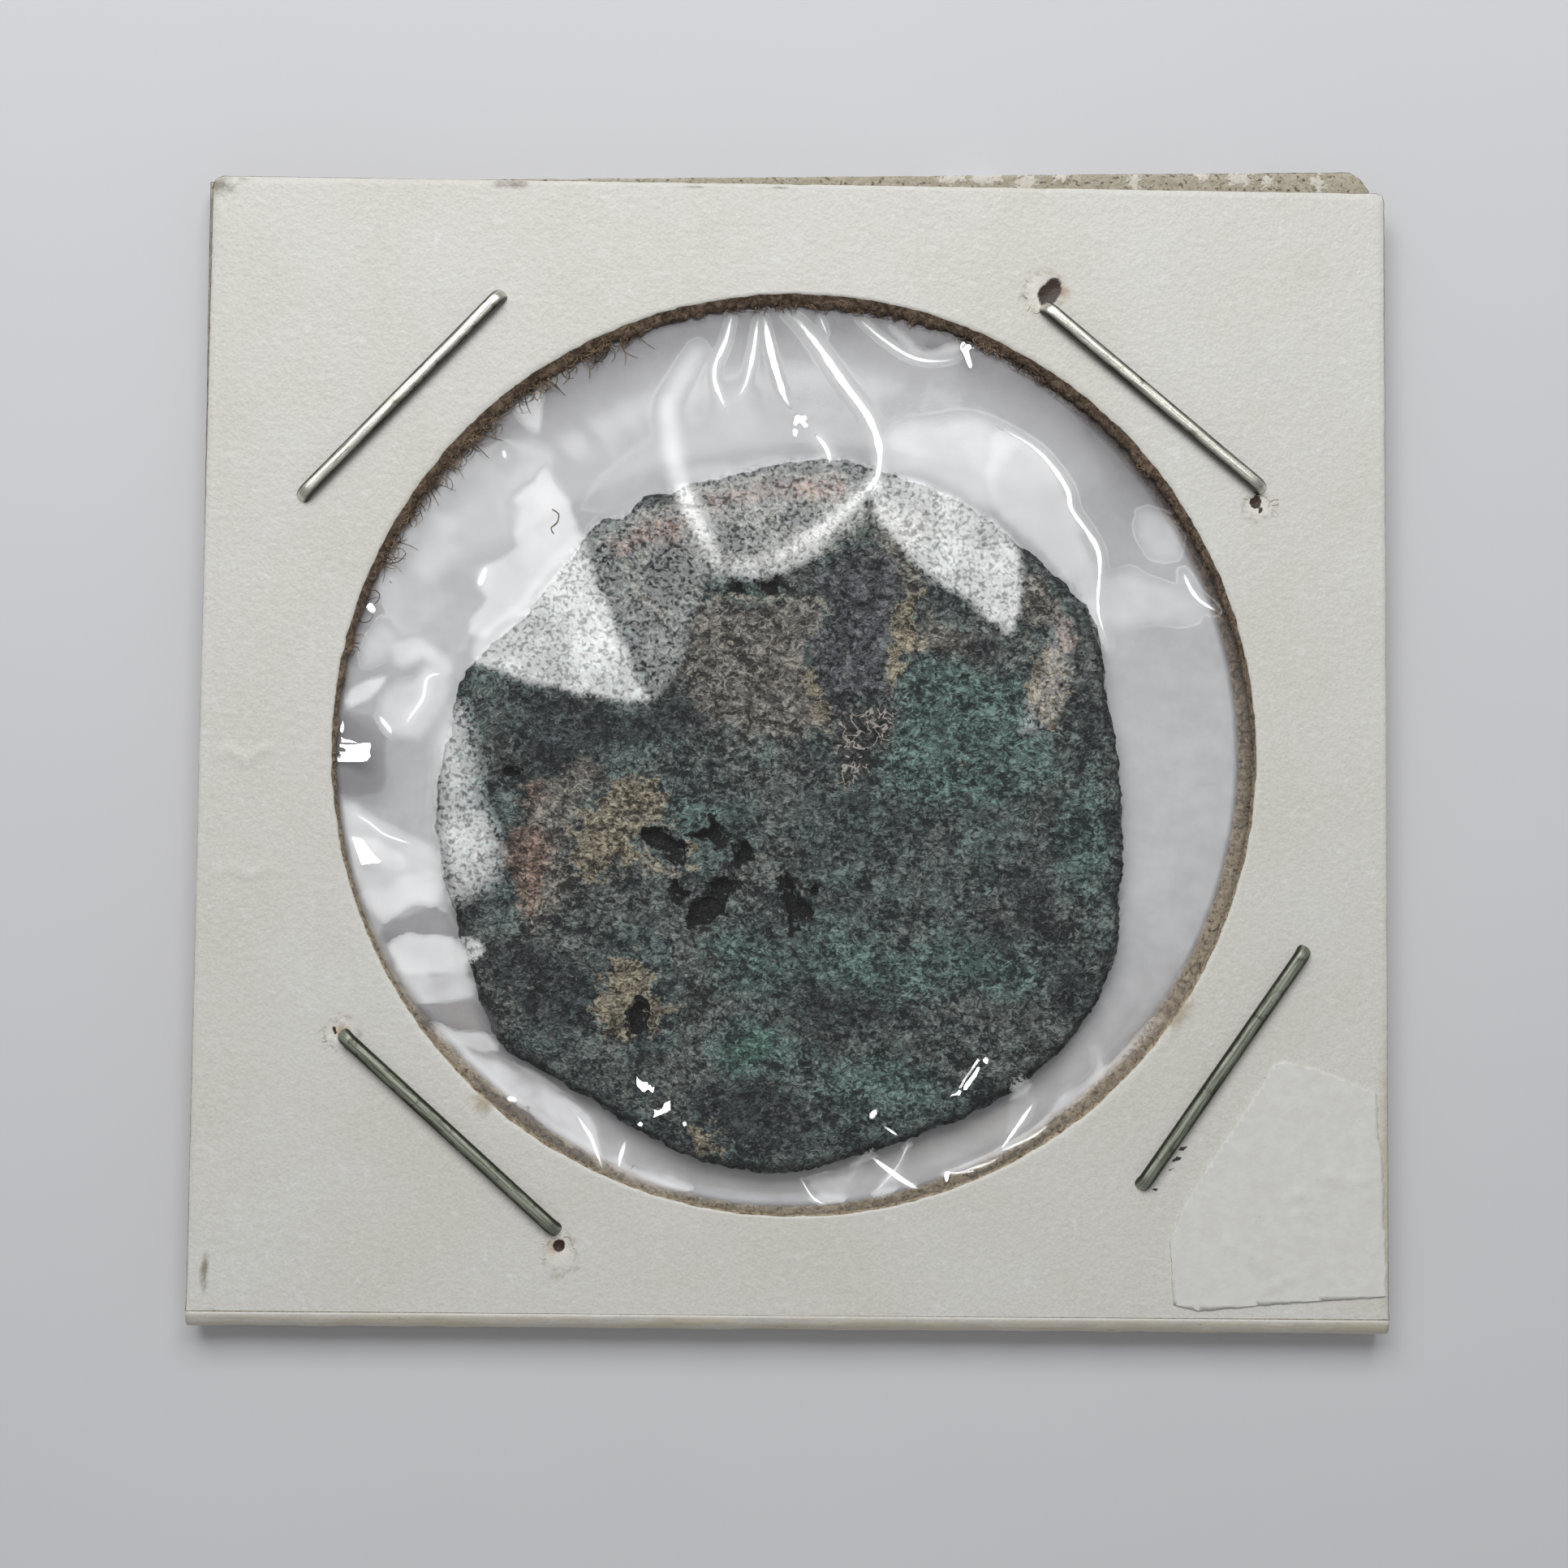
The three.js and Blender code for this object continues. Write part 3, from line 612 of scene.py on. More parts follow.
def make_coin():
    """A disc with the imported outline, then its two faces and its edge: worn, lumpy and pitted."""
    bm = disc(COIN_STEPS)
    top = bmesh.ops.extrude_face_region(bm, geom=bm.faces[:])["geom"]
    for part in top:
        if isinstance(part, bmesh.types.BMVert):
            part.co.z = 1
    walls = [edge for edge in bm.edges if abs(edge.verts[0].co.z - edge.verts[1].co.z) > 0.5]
    bmesh.ops.subdivide_edges(bm, edges=walls, cuts=COIN_EDGE_STEPS, use_grid_fill=True)
    mesh = to_mesh(bm, "coin_body")
    points = places(mesh)
    turn = np.arctan2(points[:, 1], points[:, 0])
    share = np.hypot(points[:, 0], points[:, 1])
    reach = np.interp(turn, *coin_outline(), period=2 * math.pi)
    level = points[:, 2] * 2 - 1
    rim = np.stack([np.cos(turn) * COIN_CIRCLE, np.sin(turn) * COIN_CIRCLE, level * COIN_HALF], 1)
    reach = reach - EDGE_WEAR + EDGE_WAVES * lumps(rim, 1.0, 1, 4)
    reach -= EDGE_NICKS * np.abs(lumps(rim, 0.45, 2, 2))
    radius = share * reach
    from_edge = reach - radius
    rounding = np.clip(1 - from_edge / COIN_EDGE_ROUND, 0, 1)
    fall = COIN_EDGE_ROUND * (1 - np.sqrt(np.clip(1 - rounding ** 2, 0, 1)))
    edge = share > 0.9999
    x = COIN_X + radius * np.cos(turn)
    y = COIN_Y + radius * np.sin(turn)
    flat = np.stack([x, y], 1)
    solid = np.stack([x, y, level * FACES_APART], 1)
    depths = {name: patch_depths(flat, outlines) for name, outlines in PATINA.items()}
    wander = 0.25 * lumps(solid, 0.5, 5, 3)
    high = -FACE_WEAR + BROAD_LUMPS * lumps(solid, 3.2, 3, 4) + SMALL_LUMPS * lumps(solid, 0.5, 4, 3)
    for name, rise in PATCH_RISES.items():
        high += rise * ease(depths[name] + wander, -0.1, 0.15)
    high -= PIT_DEPTH * ease(depths["pit"] + 0.5 * wander, -0.04, 0.14) * (level > 0)
    high -= ease(share, 0.88, 1.0) * (COIN_THINNING + 0.05 * lumps(rim, 4.0, 6, 2))
    high = np.minimum(high, -0.004)
    z = MIDDLE + np.sign(level) * (COIN_HALF + high - fall)
    bulge = COIN_EDGE_ROUND * (1 - np.sqrt(np.clip(1 - np.abs(level) ** 6, 0, 1)))
    radius_edge = reach - 0.5 * bulge
    x = np.where(edge, COIN_X + radius_edge * np.cos(turn), x)
    y = np.where(edge, COIN_Y + radius_edge * np.sin(turn), y)
    z = np.where(edge, MIDDLE + level * (COIN_HALF - COIN_THINNING - COIN_EDGE_ROUND), z)
    put(mesh, np.stack([x, y, z], 1))
    for name, depth in depths.items():
        paint(mesh, name, depth if name in PATCHES_BELOW else np.where(level > 0, depth, OFF_PATCH))
    crust = np.zeros(len(flat))
    for half, knots in CRUSTS:
        away, _ = line_distance(flat, smooth_line(knots, 0.2))
        crust = np.maximum(crust, np.exp(-((away / half) ** 2)) * (level > 0))
    paint(mesh, "crust", crust)
    paint(mesh, "brink", from_edge)
    return settle(mesh, "coin", [patina()], ["coin"])


def patina():
    """Rough grey-green patina with its patches, mottled down to grains of a fifth of a millimetre."""
    finish = Finish("patina")
    # the mottle: clusters drawn out along a slant, the specks in them, the dark gaps between, and broad blots
    clouds = finish.grain(0.3, 6.0, 0.7)
    slanted = finish.node(
        "ShaderNodeVectorRotate", {"rotation_type": "Z_AXIS"}, {"Vector": finish.place(), "Angle": 0.25}
    )
    clusters = finish.grain(1.0, 3.0, 0.62, 0.6, finish.stretched((1.7, 2.4, 2.0), slanted))
    specks = finish.grain(5.0, 1.5, 0.6, 0.8)
    relief = clusters * 0.5 + specks * 0.5
    gaps = (finish.grain(2.0, 2.0, 0.55, 1.0) - 0.5).size().rise(0.0, 0.11)
    swell = finish.grain(0.8, 1.0, 0.5, 0.5)
    tone = (relief * 0.75 + clouds * 0.1 + swell * 0.15).rise(0.415, 0.58) * (gaps * 0.6 + 0.4)
    blots = finish.grain(0.55, 4.0, 0.62, 0.6).rise(0.52, 0.57)
    tone = tone * (1 - blots * 0.3)
    # the bare patina, and how the patches' edges wander
    ragged = finish.grain(1.6, 3.5, 0.65) - 0.5
    jagged = finish.grain(2.4, 1.5, 0.5) - 0.47
    tint = finish.grain(0.35, 4.0, 0.6).rise(0.35, 0.65)
    body = finish.mix(ink(25, 30, 31), ink(149, 157, 151), tone)
    cooler = finish.mix(ink(20, 31, 33), ink(130, 152, 148), tone)
    body = finish.mix(body, cooler, tint)
    body = finish.mix(body, ink(15, 19, 23), clouds.rise(0.5, 0.7) * 0.6)
    lines = 1 - (finish.grain(1.9, 2.0, 0.5, 0.5) - 0.5).size().rise(0.012, 0.04)
    # the patches, the lines of pale crust, the dark rim, part patina and part painted shade, and the palest
    # specks
    for name, (dark, light, wander, soft, hides) in PATINA_INKS.items():
        patch = finish.mix(dark, light, tone)
        depth = finish.painted(name) + (jagged if name == "pit" else ragged) * wander * 2
        if name == "pale":
            patch = finish.mix(patch, ink(206, 198, 188), lines)
        body = finish.mix(body, patch, depth.rise(-0.5 * soft, 0.5 * soft) * hides)
        if name == "ochre":
            border = 1 - depth.size().rise(0.03, 0.14)
            body = finish.mix(body, ink(182, 174, 156), border * specks.rise(0.4, 0.6) * 0.6)
    crust = (finish.painted("crust") + ragged * 3).rise(0.3, 0.8)
    body = finish.mix(body, ink(184, 180, 166), crust * (specks.rise(0.4, 0.56) * 0.6 + 0.2))
    # darker round the edge: partly patina, partly painted shade where the rounded edge turns from the light
    brink = 1 - (finish.painted("brink") + ragged * 0.8).rise(0.1, 0.9)
    body = finish.mix(body, ink(24, 29, 31), brink * 0.4)
    body = finish.mix(body, ink(196, 200, 192), specks.rise(0.68, 0.78) * 0.45)
    normal = finish.bump(relief + gaps * 0.14, 0.24, 1.0)
    return finish.surface(base_color=body, roughness=0.74 - tone * 0.22, normal=normal, ior=1.5)


# The films


FILM_STEPS = 270
BACK_FILM_STEPS = 120
FILM_UNDER_STEPS = 8

# How far inside the window's edge a film meets the board, and how far it runs on between the leaves
FILM_FOOT = 0.25
FILM_LAP = 0.35
FILM_SIDE_MARGIN = 0.95
FILM_END_MARGIN = 0.5

# How far a film stands off what is under it, and the height of its pleats and dents on top of that
FRONT_SLACK, FRONT_RIPPLE = 0.045, 0.07
BACK_SLACK, BACK_RIPPLE = 0.04, 0.04
PLEATS_ROUND = 9.0
PLEAT_WAVER = 0.12
DENT_WIDTH = 3.2

# How far the veils' edges waver, and the most that the film mirrors anywhere
VEIL_WAVER = 0.13
SHINE_MOST = 2.6

# How much of what is behind it a mirroring pleat hides, how far it leans to the room's window, the most
# that a pleat beside the coin mirrors, and how strongly the coin's grit breaks the mirror up
SHINE_TO_COVER = 0.16
WINDOW_LEAN = 0.3
SHINE_OFF_COIN = 1.0
GRIT_IN_SHINE = 0.8

# How much of its own slope the front film shows, how much its painted shade and a sharp facet hide, and the
# cloud of the back film
FILM_LIVELINESS = 0.35
PAINTED_SHADE_COVER = 0.5
FACET_COVER = 0.28
BACK_FILM_CLOUD = 0.34

# Flat brownish-grey painted shade on the front film by the window's lower edge: direction, spread, strength
PAINTED_SHADE_SWELLS = [(-62, 34, 0.3), (-125, 26, 0.2)]

# Places where the front film tips up and mirrors the window: strength, softness of the edge, outline
VEILS = [
    # the wedge at the left, its whitest part, and the tongue beside it
    (0.78, 0.2, [
        (-10.1, 8.5), (-9.4, 9.3), (-9.1, 8.6), (-8.6, 7.2), (-8.1, 6.0),
        (-7.5, 4.7), (-6.9, 3.3), (-6.4, 2.3), (-6.7, 2.0), (-7.5, 2.1), (-8.5, 2.2), (-9.4, 2.4),
        (-10.6, 2.6), (-11.8, 3.0), (-13.0, 3.4), (-13.7, 3.7), (-13.6, 4.6), (-12.9, 5.4), (-11.9, 6.2),
        (-11.2, 7.3),
    ]),
    (0.85, 0.12, [
        (-11.0, 12.05), (-11.3, 11.5), (-11.8, 11.1), (-12.14, 10.66), (-11.85, 10.03), (-12.13, 9.18),
        (-11.96, 8.64), (-12.8, 7.9), (-13.5, 7.7), (-13.64, 6.85), (-13.3, 6.3), (-13.8, 5.6), (-14.0, 4.85),
        (-13.2, 4.7), (-12.9, 5.2), (-11.74, 5.8), (-11.1, 6.9), (-10.1, 7.95), (-9.4, 9.2), (-9.7, 10.3),
        (-10.4, 11.3), (-10.8, 11.95),
    ]),
    (0.3, 0.5, [
        (-11.9, 10.9), (-11.0, 11.4), (-10.1, 10.3), (-9.6, 9.1), (-9.0, 7.0), (-8.0, 5.0), (-7.0, 3.0),
        (-8.4, 3.1), (-9.8, 4.6), (-11.0, 6.4), (-11.8, 8.5), (-12.1, 10.2),
    ]),
    (0.2, 0.25, [
        (-9.2, 9.0), (-7.5, 10.2), (-5.4, 10.4), (-4.5, 9.5), (-4.0, 8.0), (-4.2, 6.5), (-4.6, 5.2),
        (-5.1, 3.5), (-5.9, 2.3), (-6.7, 2.0), (-7.2, 3.5), (-7.8, 5.0), (-8.7, 7.0),
    ]),
    # the lobe under the rays
    (0.34, 0.2, [
        (-4.1, 8.9), (-4.8, 10.4), (-5.2, 11.6), (-4.5, 12.1), (-2.4, 12.3), (-1.2, 12.6), (0.6, 12.7),
        (1.6, 12.8), (3.4, 11.9), (2.9, 10.8), (1.9, 10.0), (0.4, 8.1), (-0.5, 7.6), (-1.5, 7.4),
        (-2.7, 7.5), (-3.7, 8.1),
    ]),
    (0.35, 0.3, [
        (-2.7, 7.6), (-1.5, 7.5), (0.4, 8.1), (1.6, 9.0), (2.8, 9.9), (2.5, 10.5), (1.2, 9.7), (-0.2, 8.8),
        (-1.6, 8.3), (-2.8, 8.3),
    ]),
    # the wedge at the right, and the loose film between it and the bright arc
    (0.92, 0.24, [
        (3.4, 11.7), (4.9, 11.7), (6.2, 11.2), (7.6, 10.4), (8.8, 9.5), (9.5, 8.5), (9.6, 7.3), (9.5, 5.9),
        (9.2, 5.1), (8.8, 5.2), (8.0, 5.9), (7.1, 6.7), (5.9, 7.5), (4.9, 8.3), (4.1, 9.2), (3.3, 10.2),
    ]),
    (0.75, 0.5, [
        (4.1, 14.0), (5.8, 14.2), (7.6, 14.5), (8.6, 14.0), (9.3, 13.4), (8.8, 12.7), (8.5, 11.5),
        (8.2, 10.6), (7.3, 11.0), (5.8, 11.8), (4.6, 12.0), (3.7, 12.2),
    ]),
    (0.6, 0.2, [
        (8.6, 13.8), (10.2, 13.2), (11.0, 12.1), (11.7, 10.6), (12.2, 9.3), (12.7, 8.2), (12.9, 7.0),
        (12.9, 5.8), (13.2, 4.6), (13.0, 5.2), (12.4, 6.4), (11.2, 7.9), (9.7, 9.4), (8.8, 10.0),
        (8.2, 11.2),
    ]),
    (0.2, 0.35, [
        (11.2, 5.8), (11.8, 5.4), (11.8, 4.0), (11.5, 2.5), (10.8, 1.2), (9.7, 0.8), (10.0, 2.5),
        (10.6, 3.7),
    ]),
    (0.28, 0.4, [(14.8, 10.5), (15.8, 10.5), (16.6, 9.9), (16.4, 8.7), (15.5, 8.6), (14.8, 9.3)]),
    (0.38, 0.5, [
        (13.1, 7.3), (14.2, 7.8), (15.4, 7.4), (16.9, 6.8), (17.2, 6.0), (15.4, 5.8), (13.6, 5.5),
        (13.1, 6.3),
    ]),
    (0.55, 0.12, [
        (4.0, 18.6), (4.6, 18.2), (5.1, 17.6), (5.5, 17.4), (5.8, 17.4), (6.1, 17.5), (6.3, 17.8),
        (6.6, 17.8), (6.9, 17.8), (6.9, 17.6), (6.6, 17.3), (6.1, 17.2), (5.6, 17.2), (5.0, 17.4),
        (4.5, 17.9),
    ]),
    (0.5, 0.1, [
        (-18.4, -4.0), (-17.8, -4.1), (-17.3, -4.3), (-16.9, -4.6), (-16.6, -4.8), (-16.9, -4.9),
        (-17.2, -4.9), (-17.6, -4.9), (-17.8, -4.7), (-18.2, -4.3),
    ]),
    # soft lights round the coin's top, among the rays and along the upper left of the window
    (0.1, 0.6, [
        (-9.0, 10.4), (-7.4, 12.2), (-5.5, 13.4), (-3.0, 14.2), (0.0, 14.4), (3.0, 13.8), (3.6, 12.4),
        (0.0, 12.9), (-3.0, 12.5), (-5.5, 11.6), (-7.5, 10.6),
    ]),
    (0.22, 0.6, [(-3.2, 15.6), (-2.0, 15.6), (-1.8, 14.4), (-2.6, 13.6), (-3.6, 14.0), (-3.5, 14.9)]),
    (0.06, 0.9, [
        (-14.4, 13.0), (-12.6, 13.3), (-11.1, 12.7), (-11.4, 11.8), (-12.2, 10.6), (-12.2, 8.5),
        (-13.6, 6.1), (-14.5, 4.0), (-17.2, 4.9), (-17.8, 7.5), (-16.7, 9.7), (-15.5, 11.5),
    ]),
    (0.7, 0.12, [
        (-12.26, 15.1), (-11.9, 15.3), (-11.4, 15.6), (-11.1, 15.4), (-11.1, 14.6), (-11.2, 13.7),
        (-11.4, 13.7), (-11.7, 13.95), (-11.9, 14.1), (-12.1, 14.45),
    ]),
    # loops and pleats down the left side
    (0.3, 0.3, [(-17.9, 5.4), (-17.2, 4.9), (-17.4, 4.0), (-18.6, 3.5), (-18.5, 4.4)]),
    (0.6, 0.2, [
        (-17.2, 4.4), (-16.3, 4.6), (-15.2, 4.1), (-14.6, 3.4), (-14.9, 3.1), (-15.8, 3.7), (-16.7, 3.5),
        (-17.3, 3.8),
    ]),
    (0.5, 0.3, [
        (-15.8, 3.5), (-14.9, 3.0), (-15.0, 1.9), (-15.8, 0.7), (-16.5, 0.4), (-17.4, 0.7), (-17.7, 1.9),
        (-17.1, 2.6), (-16.1, 2.9),
    ]),
    (1.1, 0.12, [(-19.3, 2.1), (-18.3, 2.8), (-17.6, 2.9), (-17.9, 2.3), (-18.6, 1.9), (-19.2, 1.7)]),
    (0.72, 0.7, [
        (-15.1, -1.0), (-15.0, 0.8), (-14.2, 1.6), (-13.7, -0.6), (-13.5, -2.3), (-12.8, -3.6), (-12.8, -5.5),
        (-13.7, -6.2), (-14.6, -6.5), (-14.9, -4.7), (-15.2, -2.9),
    ]),
    (0.5, 0.2, [
        (-19.2, -2.5), (-18.3, -2.9), (-17.5, -3.4), (-16.5, -3.8), (-15.6, -4.2), (-15.1, -4.7),
        (-15.0, -6.5), (-16.2, -6.7), (-17.4, -7.3), (-18.3, -6.3), (-19.0, -4.0),
    ]),
    (0.45, 0.12, [
        (-19.0, -3.9), (-17.8, -4.0), (-16.9, -4.4), (-16.4, -4.9), (-16.7, -5.4), (-17.6, -5.1),
        (-18.6, -4.9),
    ]),
    (0.4, 0.12, [
        (-18.4, -6.2), (-17.3, -6.0), (-16.5, -5.6), (-15.0, -5.4), (-14.9, -6.5), (-16.2, -6.8),
        (-17.4, -7.4), (-18.1, -7.0),
    ]),
    (0.85, 0.12, [
        (-17.2, -8.5), (-16.3, -8.1), (-15.0, -8.2), (-14.2, -8.4), (-13.8, -9.1), (-13.9, -9.6),
        (-15.3, -9.6), (-16.6, -9.7), (-16.9, -9.1),
    ]),
    (0.6, 0.1, [(-14.1, -8.2), (-13.4, -8.3), (-13.1, -8.7), (-13.4, -9.1), (-13.9, -9.2), (-14.1, -8.8)]),
    (0.32, 0.1, [
        (-16.6, -9.8), (-15.3, -9.7), (-13.8, -9.7), (-13.5, -10.5), (-14.5, -10.8), (-15.9, -10.9),
        (-16.4, -10.4),
    ]),
    (0.75, 0.12, [
        (-15.3, -11.9), (-14.3, -12.1), (-12.8, -12.3), (-12.5, -12.9), (-13.6, -12.8), (-14.8, -12.5),
    ]),
    (0.5, 0.25, [
        (-14.6, -12.6), (-13.0, -13.1), (-11.4, -13.7), (-9.7, -14.7), (-8.6, -15.6), (-8.2, -17.1),
        (-9.4, -16.8), (-10.7, -15.7), (-12.3, -14.7), (-13.5, -13.8),
    ]),
    (0.35, 0.2, [(-10.0, -14.8), (-8.6, -15.5), (-8.1, -16.4), (-8.1, -17.7), (-8.6, -16.4), (-9.4, -15.6)]),
    # short ones along the foot
    (0.3, 0.3, [(-7.9, -16.8), (-6.3, -17.8), (-5.0, -18.0), (-4.3, -18.5), (-5.3, -18.8), (-7.0, -18.3)]),
    (0.4, 0.2, [(0.7, -18.1), (2.3, -17.8), (3.4, -17.0), (2.6, -18.1), (2.1, -19.1), (1.2, -18.9)]),
    (0.35, 0.15, [(3.6, -18.6), (4.6, -17.4), (5.0, -16.5), (4.6, -18.2), (3.9, -19.0)]),
    (0.4, 0.2, [(9.4, -14.0), (10.0, -13.9), (10.2, -15.3), (9.7, -16.0), (9.2, -16.3), (9.3, -15.0)]),
    (0.4, 0.2, [(11.0, -15.0), (12.3, -14.2), (13.0, -13.3), (13.4, -13.5), (13.0, -14.2), (11.7, -15.3)]),
    (0.4, 0.2, [(12.8, -12.5), (13.2, -12.8), (13.4, -13.5), (12.9, -13.3)]),
]

# Creases of the front film: width and strength of the sharp ridge, half width and strength of the light
# round it, line. A width of 0 leaves the light alone
CREASES = [
    (0, 0, 0.38, 1.2, [
        (-4.4, 17.3), (-5.1, 16.0), (-5.6, 14.8), (-5.5, 13.7), (-5.4, 12.8), (-5.0, 11.2), (-4.4, 9.9),
        (-3.8, 8.7), (-3.3, 7.6),
    ]),
    (0.14, 1.3, 0.2, 0.6, [(-2.9, 19.0), (-3.2, 17.7), (-3.6, 16.7), (-3.6, 15.8), (-3.1, 14.6)]),
    (0.12, 1.2, 0.18, 0.6, [(-1.8, 18.8), (-2.0, 17.1), (-2.3, 15.8), (-2.7, 15.1)]),
    (0.26, 1.6, 0.2, 0.5, [(-1.52, 18.83), (-1.18, 17.13), (-0.64, 15.3), (-0.3, 14.7)]),
    (0.24, 1.6, 0.3, 0.6, [
        (-0.5, 19.0), (0.0, 18.6), (0.8, 17.6), (1.8, 16.1), (2.6, 15.0), (3.0, 14.4), (3.4, 13.4),
        (3.5, 12.5), (3.3, 11.6), (2.6, 10.8),
    ]),
    (0, 0, 0.3, 0.6, [(3.5, 12.5), (3.3, 11.6), (2.6, 10.8), (1.2, 9.7), (-0.4, 8.6), (-1.2, 8.2)]),
    (0.06, 0.7, 0.15, 0.3, [(0.9, 18.9), (1.2, 18.1)]),
    (0.14, 1.0, 0.3, 0.5, [(0.7, 13.6), (1.2, 13.0), (1.4, 12.3)]),
    (0.13, 1.6, 0.25, 0.4, [
        (8.6, 14.1), (9.9, 13.4), (10.8, 12.6), (11.6, 11.4), (11.8, 10.5), (12.5, 9.5), (12.9, 8.8),
        (13.0, 8.0), (12.9, 6.6), (13.0, 5.7), (13.4, 4.6),
    ]),
    (0.1, 0.9, 0.16, 0.5, [(2.6, 18.8), (3.8, 17.8), (5.0, 17.1), (6.2, 17.0), (6.9, 17.2)]),
    (0.12, 1.4, 0.3, 0.3, [(16.7, 7.9), (17.0, 7.2), (17.4, 6.7), (18.1, 6.3)]),
    (0.1, 1.0, 0.3, 0.6, [(-15.0, 3.1), (-15.7, 2.9), (-15.9, 2.0), (-16.5, 1.1), (-16.6, 0.8)]),
    (0.12, 1.0, 0.2, 0.3, [(-17.8, 1.3), (-17.4, 0.8), (-17.2, 0.5)]),
    (0.07, 0.8, 0.2, 0.3, [(-18.8, -2.9), (-18.1, -3.3), (-17.4, -3.8), (-16.2, -4.2)]),
    (0.1, 0.9, 0.2, 0.3, [(-9.1, -15.5), (-8.7, -16.1), (-8.4, -16.6), (-8.0, -17.9)]),
    (0.1, 0.9, 0.2, 0.2, [(-7.0, -16.6), (-7.2, -17.3), (-7.3, -17.8)]),
    (0.08, 0.9, 0.16, 0.2, [(0.4, -18.1), (0.9, -18.9), (1.5, -19.3)]),
    (0.16, 1.6, 0.2, 0.3, [(3.4, -17.2), (4.2, -17.8), (5.4, -18.6)]),
    (0.06, 0.5, 0.16, 0.2, [(5.0, -16.5), (4.4, -17.7), (3.4, -18.8)]),
    (0.13, 1.5, 0.2, 0.3, [(10.2, -14.9), (9.8, -15.5), (9.4, -16.1), (8.9, -16.9)]),
    (0.09, 0.8, 0.2, 0.2, [(8.8, -17.0), (10.2, -16.4), (11.0, -15.8)]),
    (0.09, 0.8, 0.2, 0.2, [(7.1, -17.9), (8.4, -17.5), (8.9, -17.2)]),
    (0, 0, 0.16, 0.7, [(6.5, -17.9), (8.8, -17.0), (10.4, -16.0), (11.6, -14.5)]),
    (0, 0, 0.2, 0.6, [(11.6, -14.5), (13.2, -13.7), (14.6, -12.4), (15.7, -11.3)]),
    (0.22, 1.2, 0, 0, [(3.6, -15.2), (3.3, -15.6)]),
    (0.08, 1.0, 0, 0, [(3.9, -15.9), (4.5, -16.3)]),
    (0.28, 1.6, 0, 0, [(-18.5, 6.1), (-18.3, 6.0), (-18.1, 5.7)]),
    (0.14, 1.2, 0, 0, [(-12.1, -14.9), (-11.6, -15.0)]),
    (0.2, 0.8, 0.3, 0.3, [(-13.6, 6.8), (-13.3, 7.7)]),
    (0.12, 0.7, 0.3, 0.2, [(-12.7, 12.9), (-12.6, 12.4)]),
]

# How far the sharp creases and the facets lie above the front film, and how thick they are
CREASE_LIFT = 0.02
CREASE_HEIGHT = 0.1
GLINT_LIFT = 0.015
GLINT_THICKNESS = 0.02

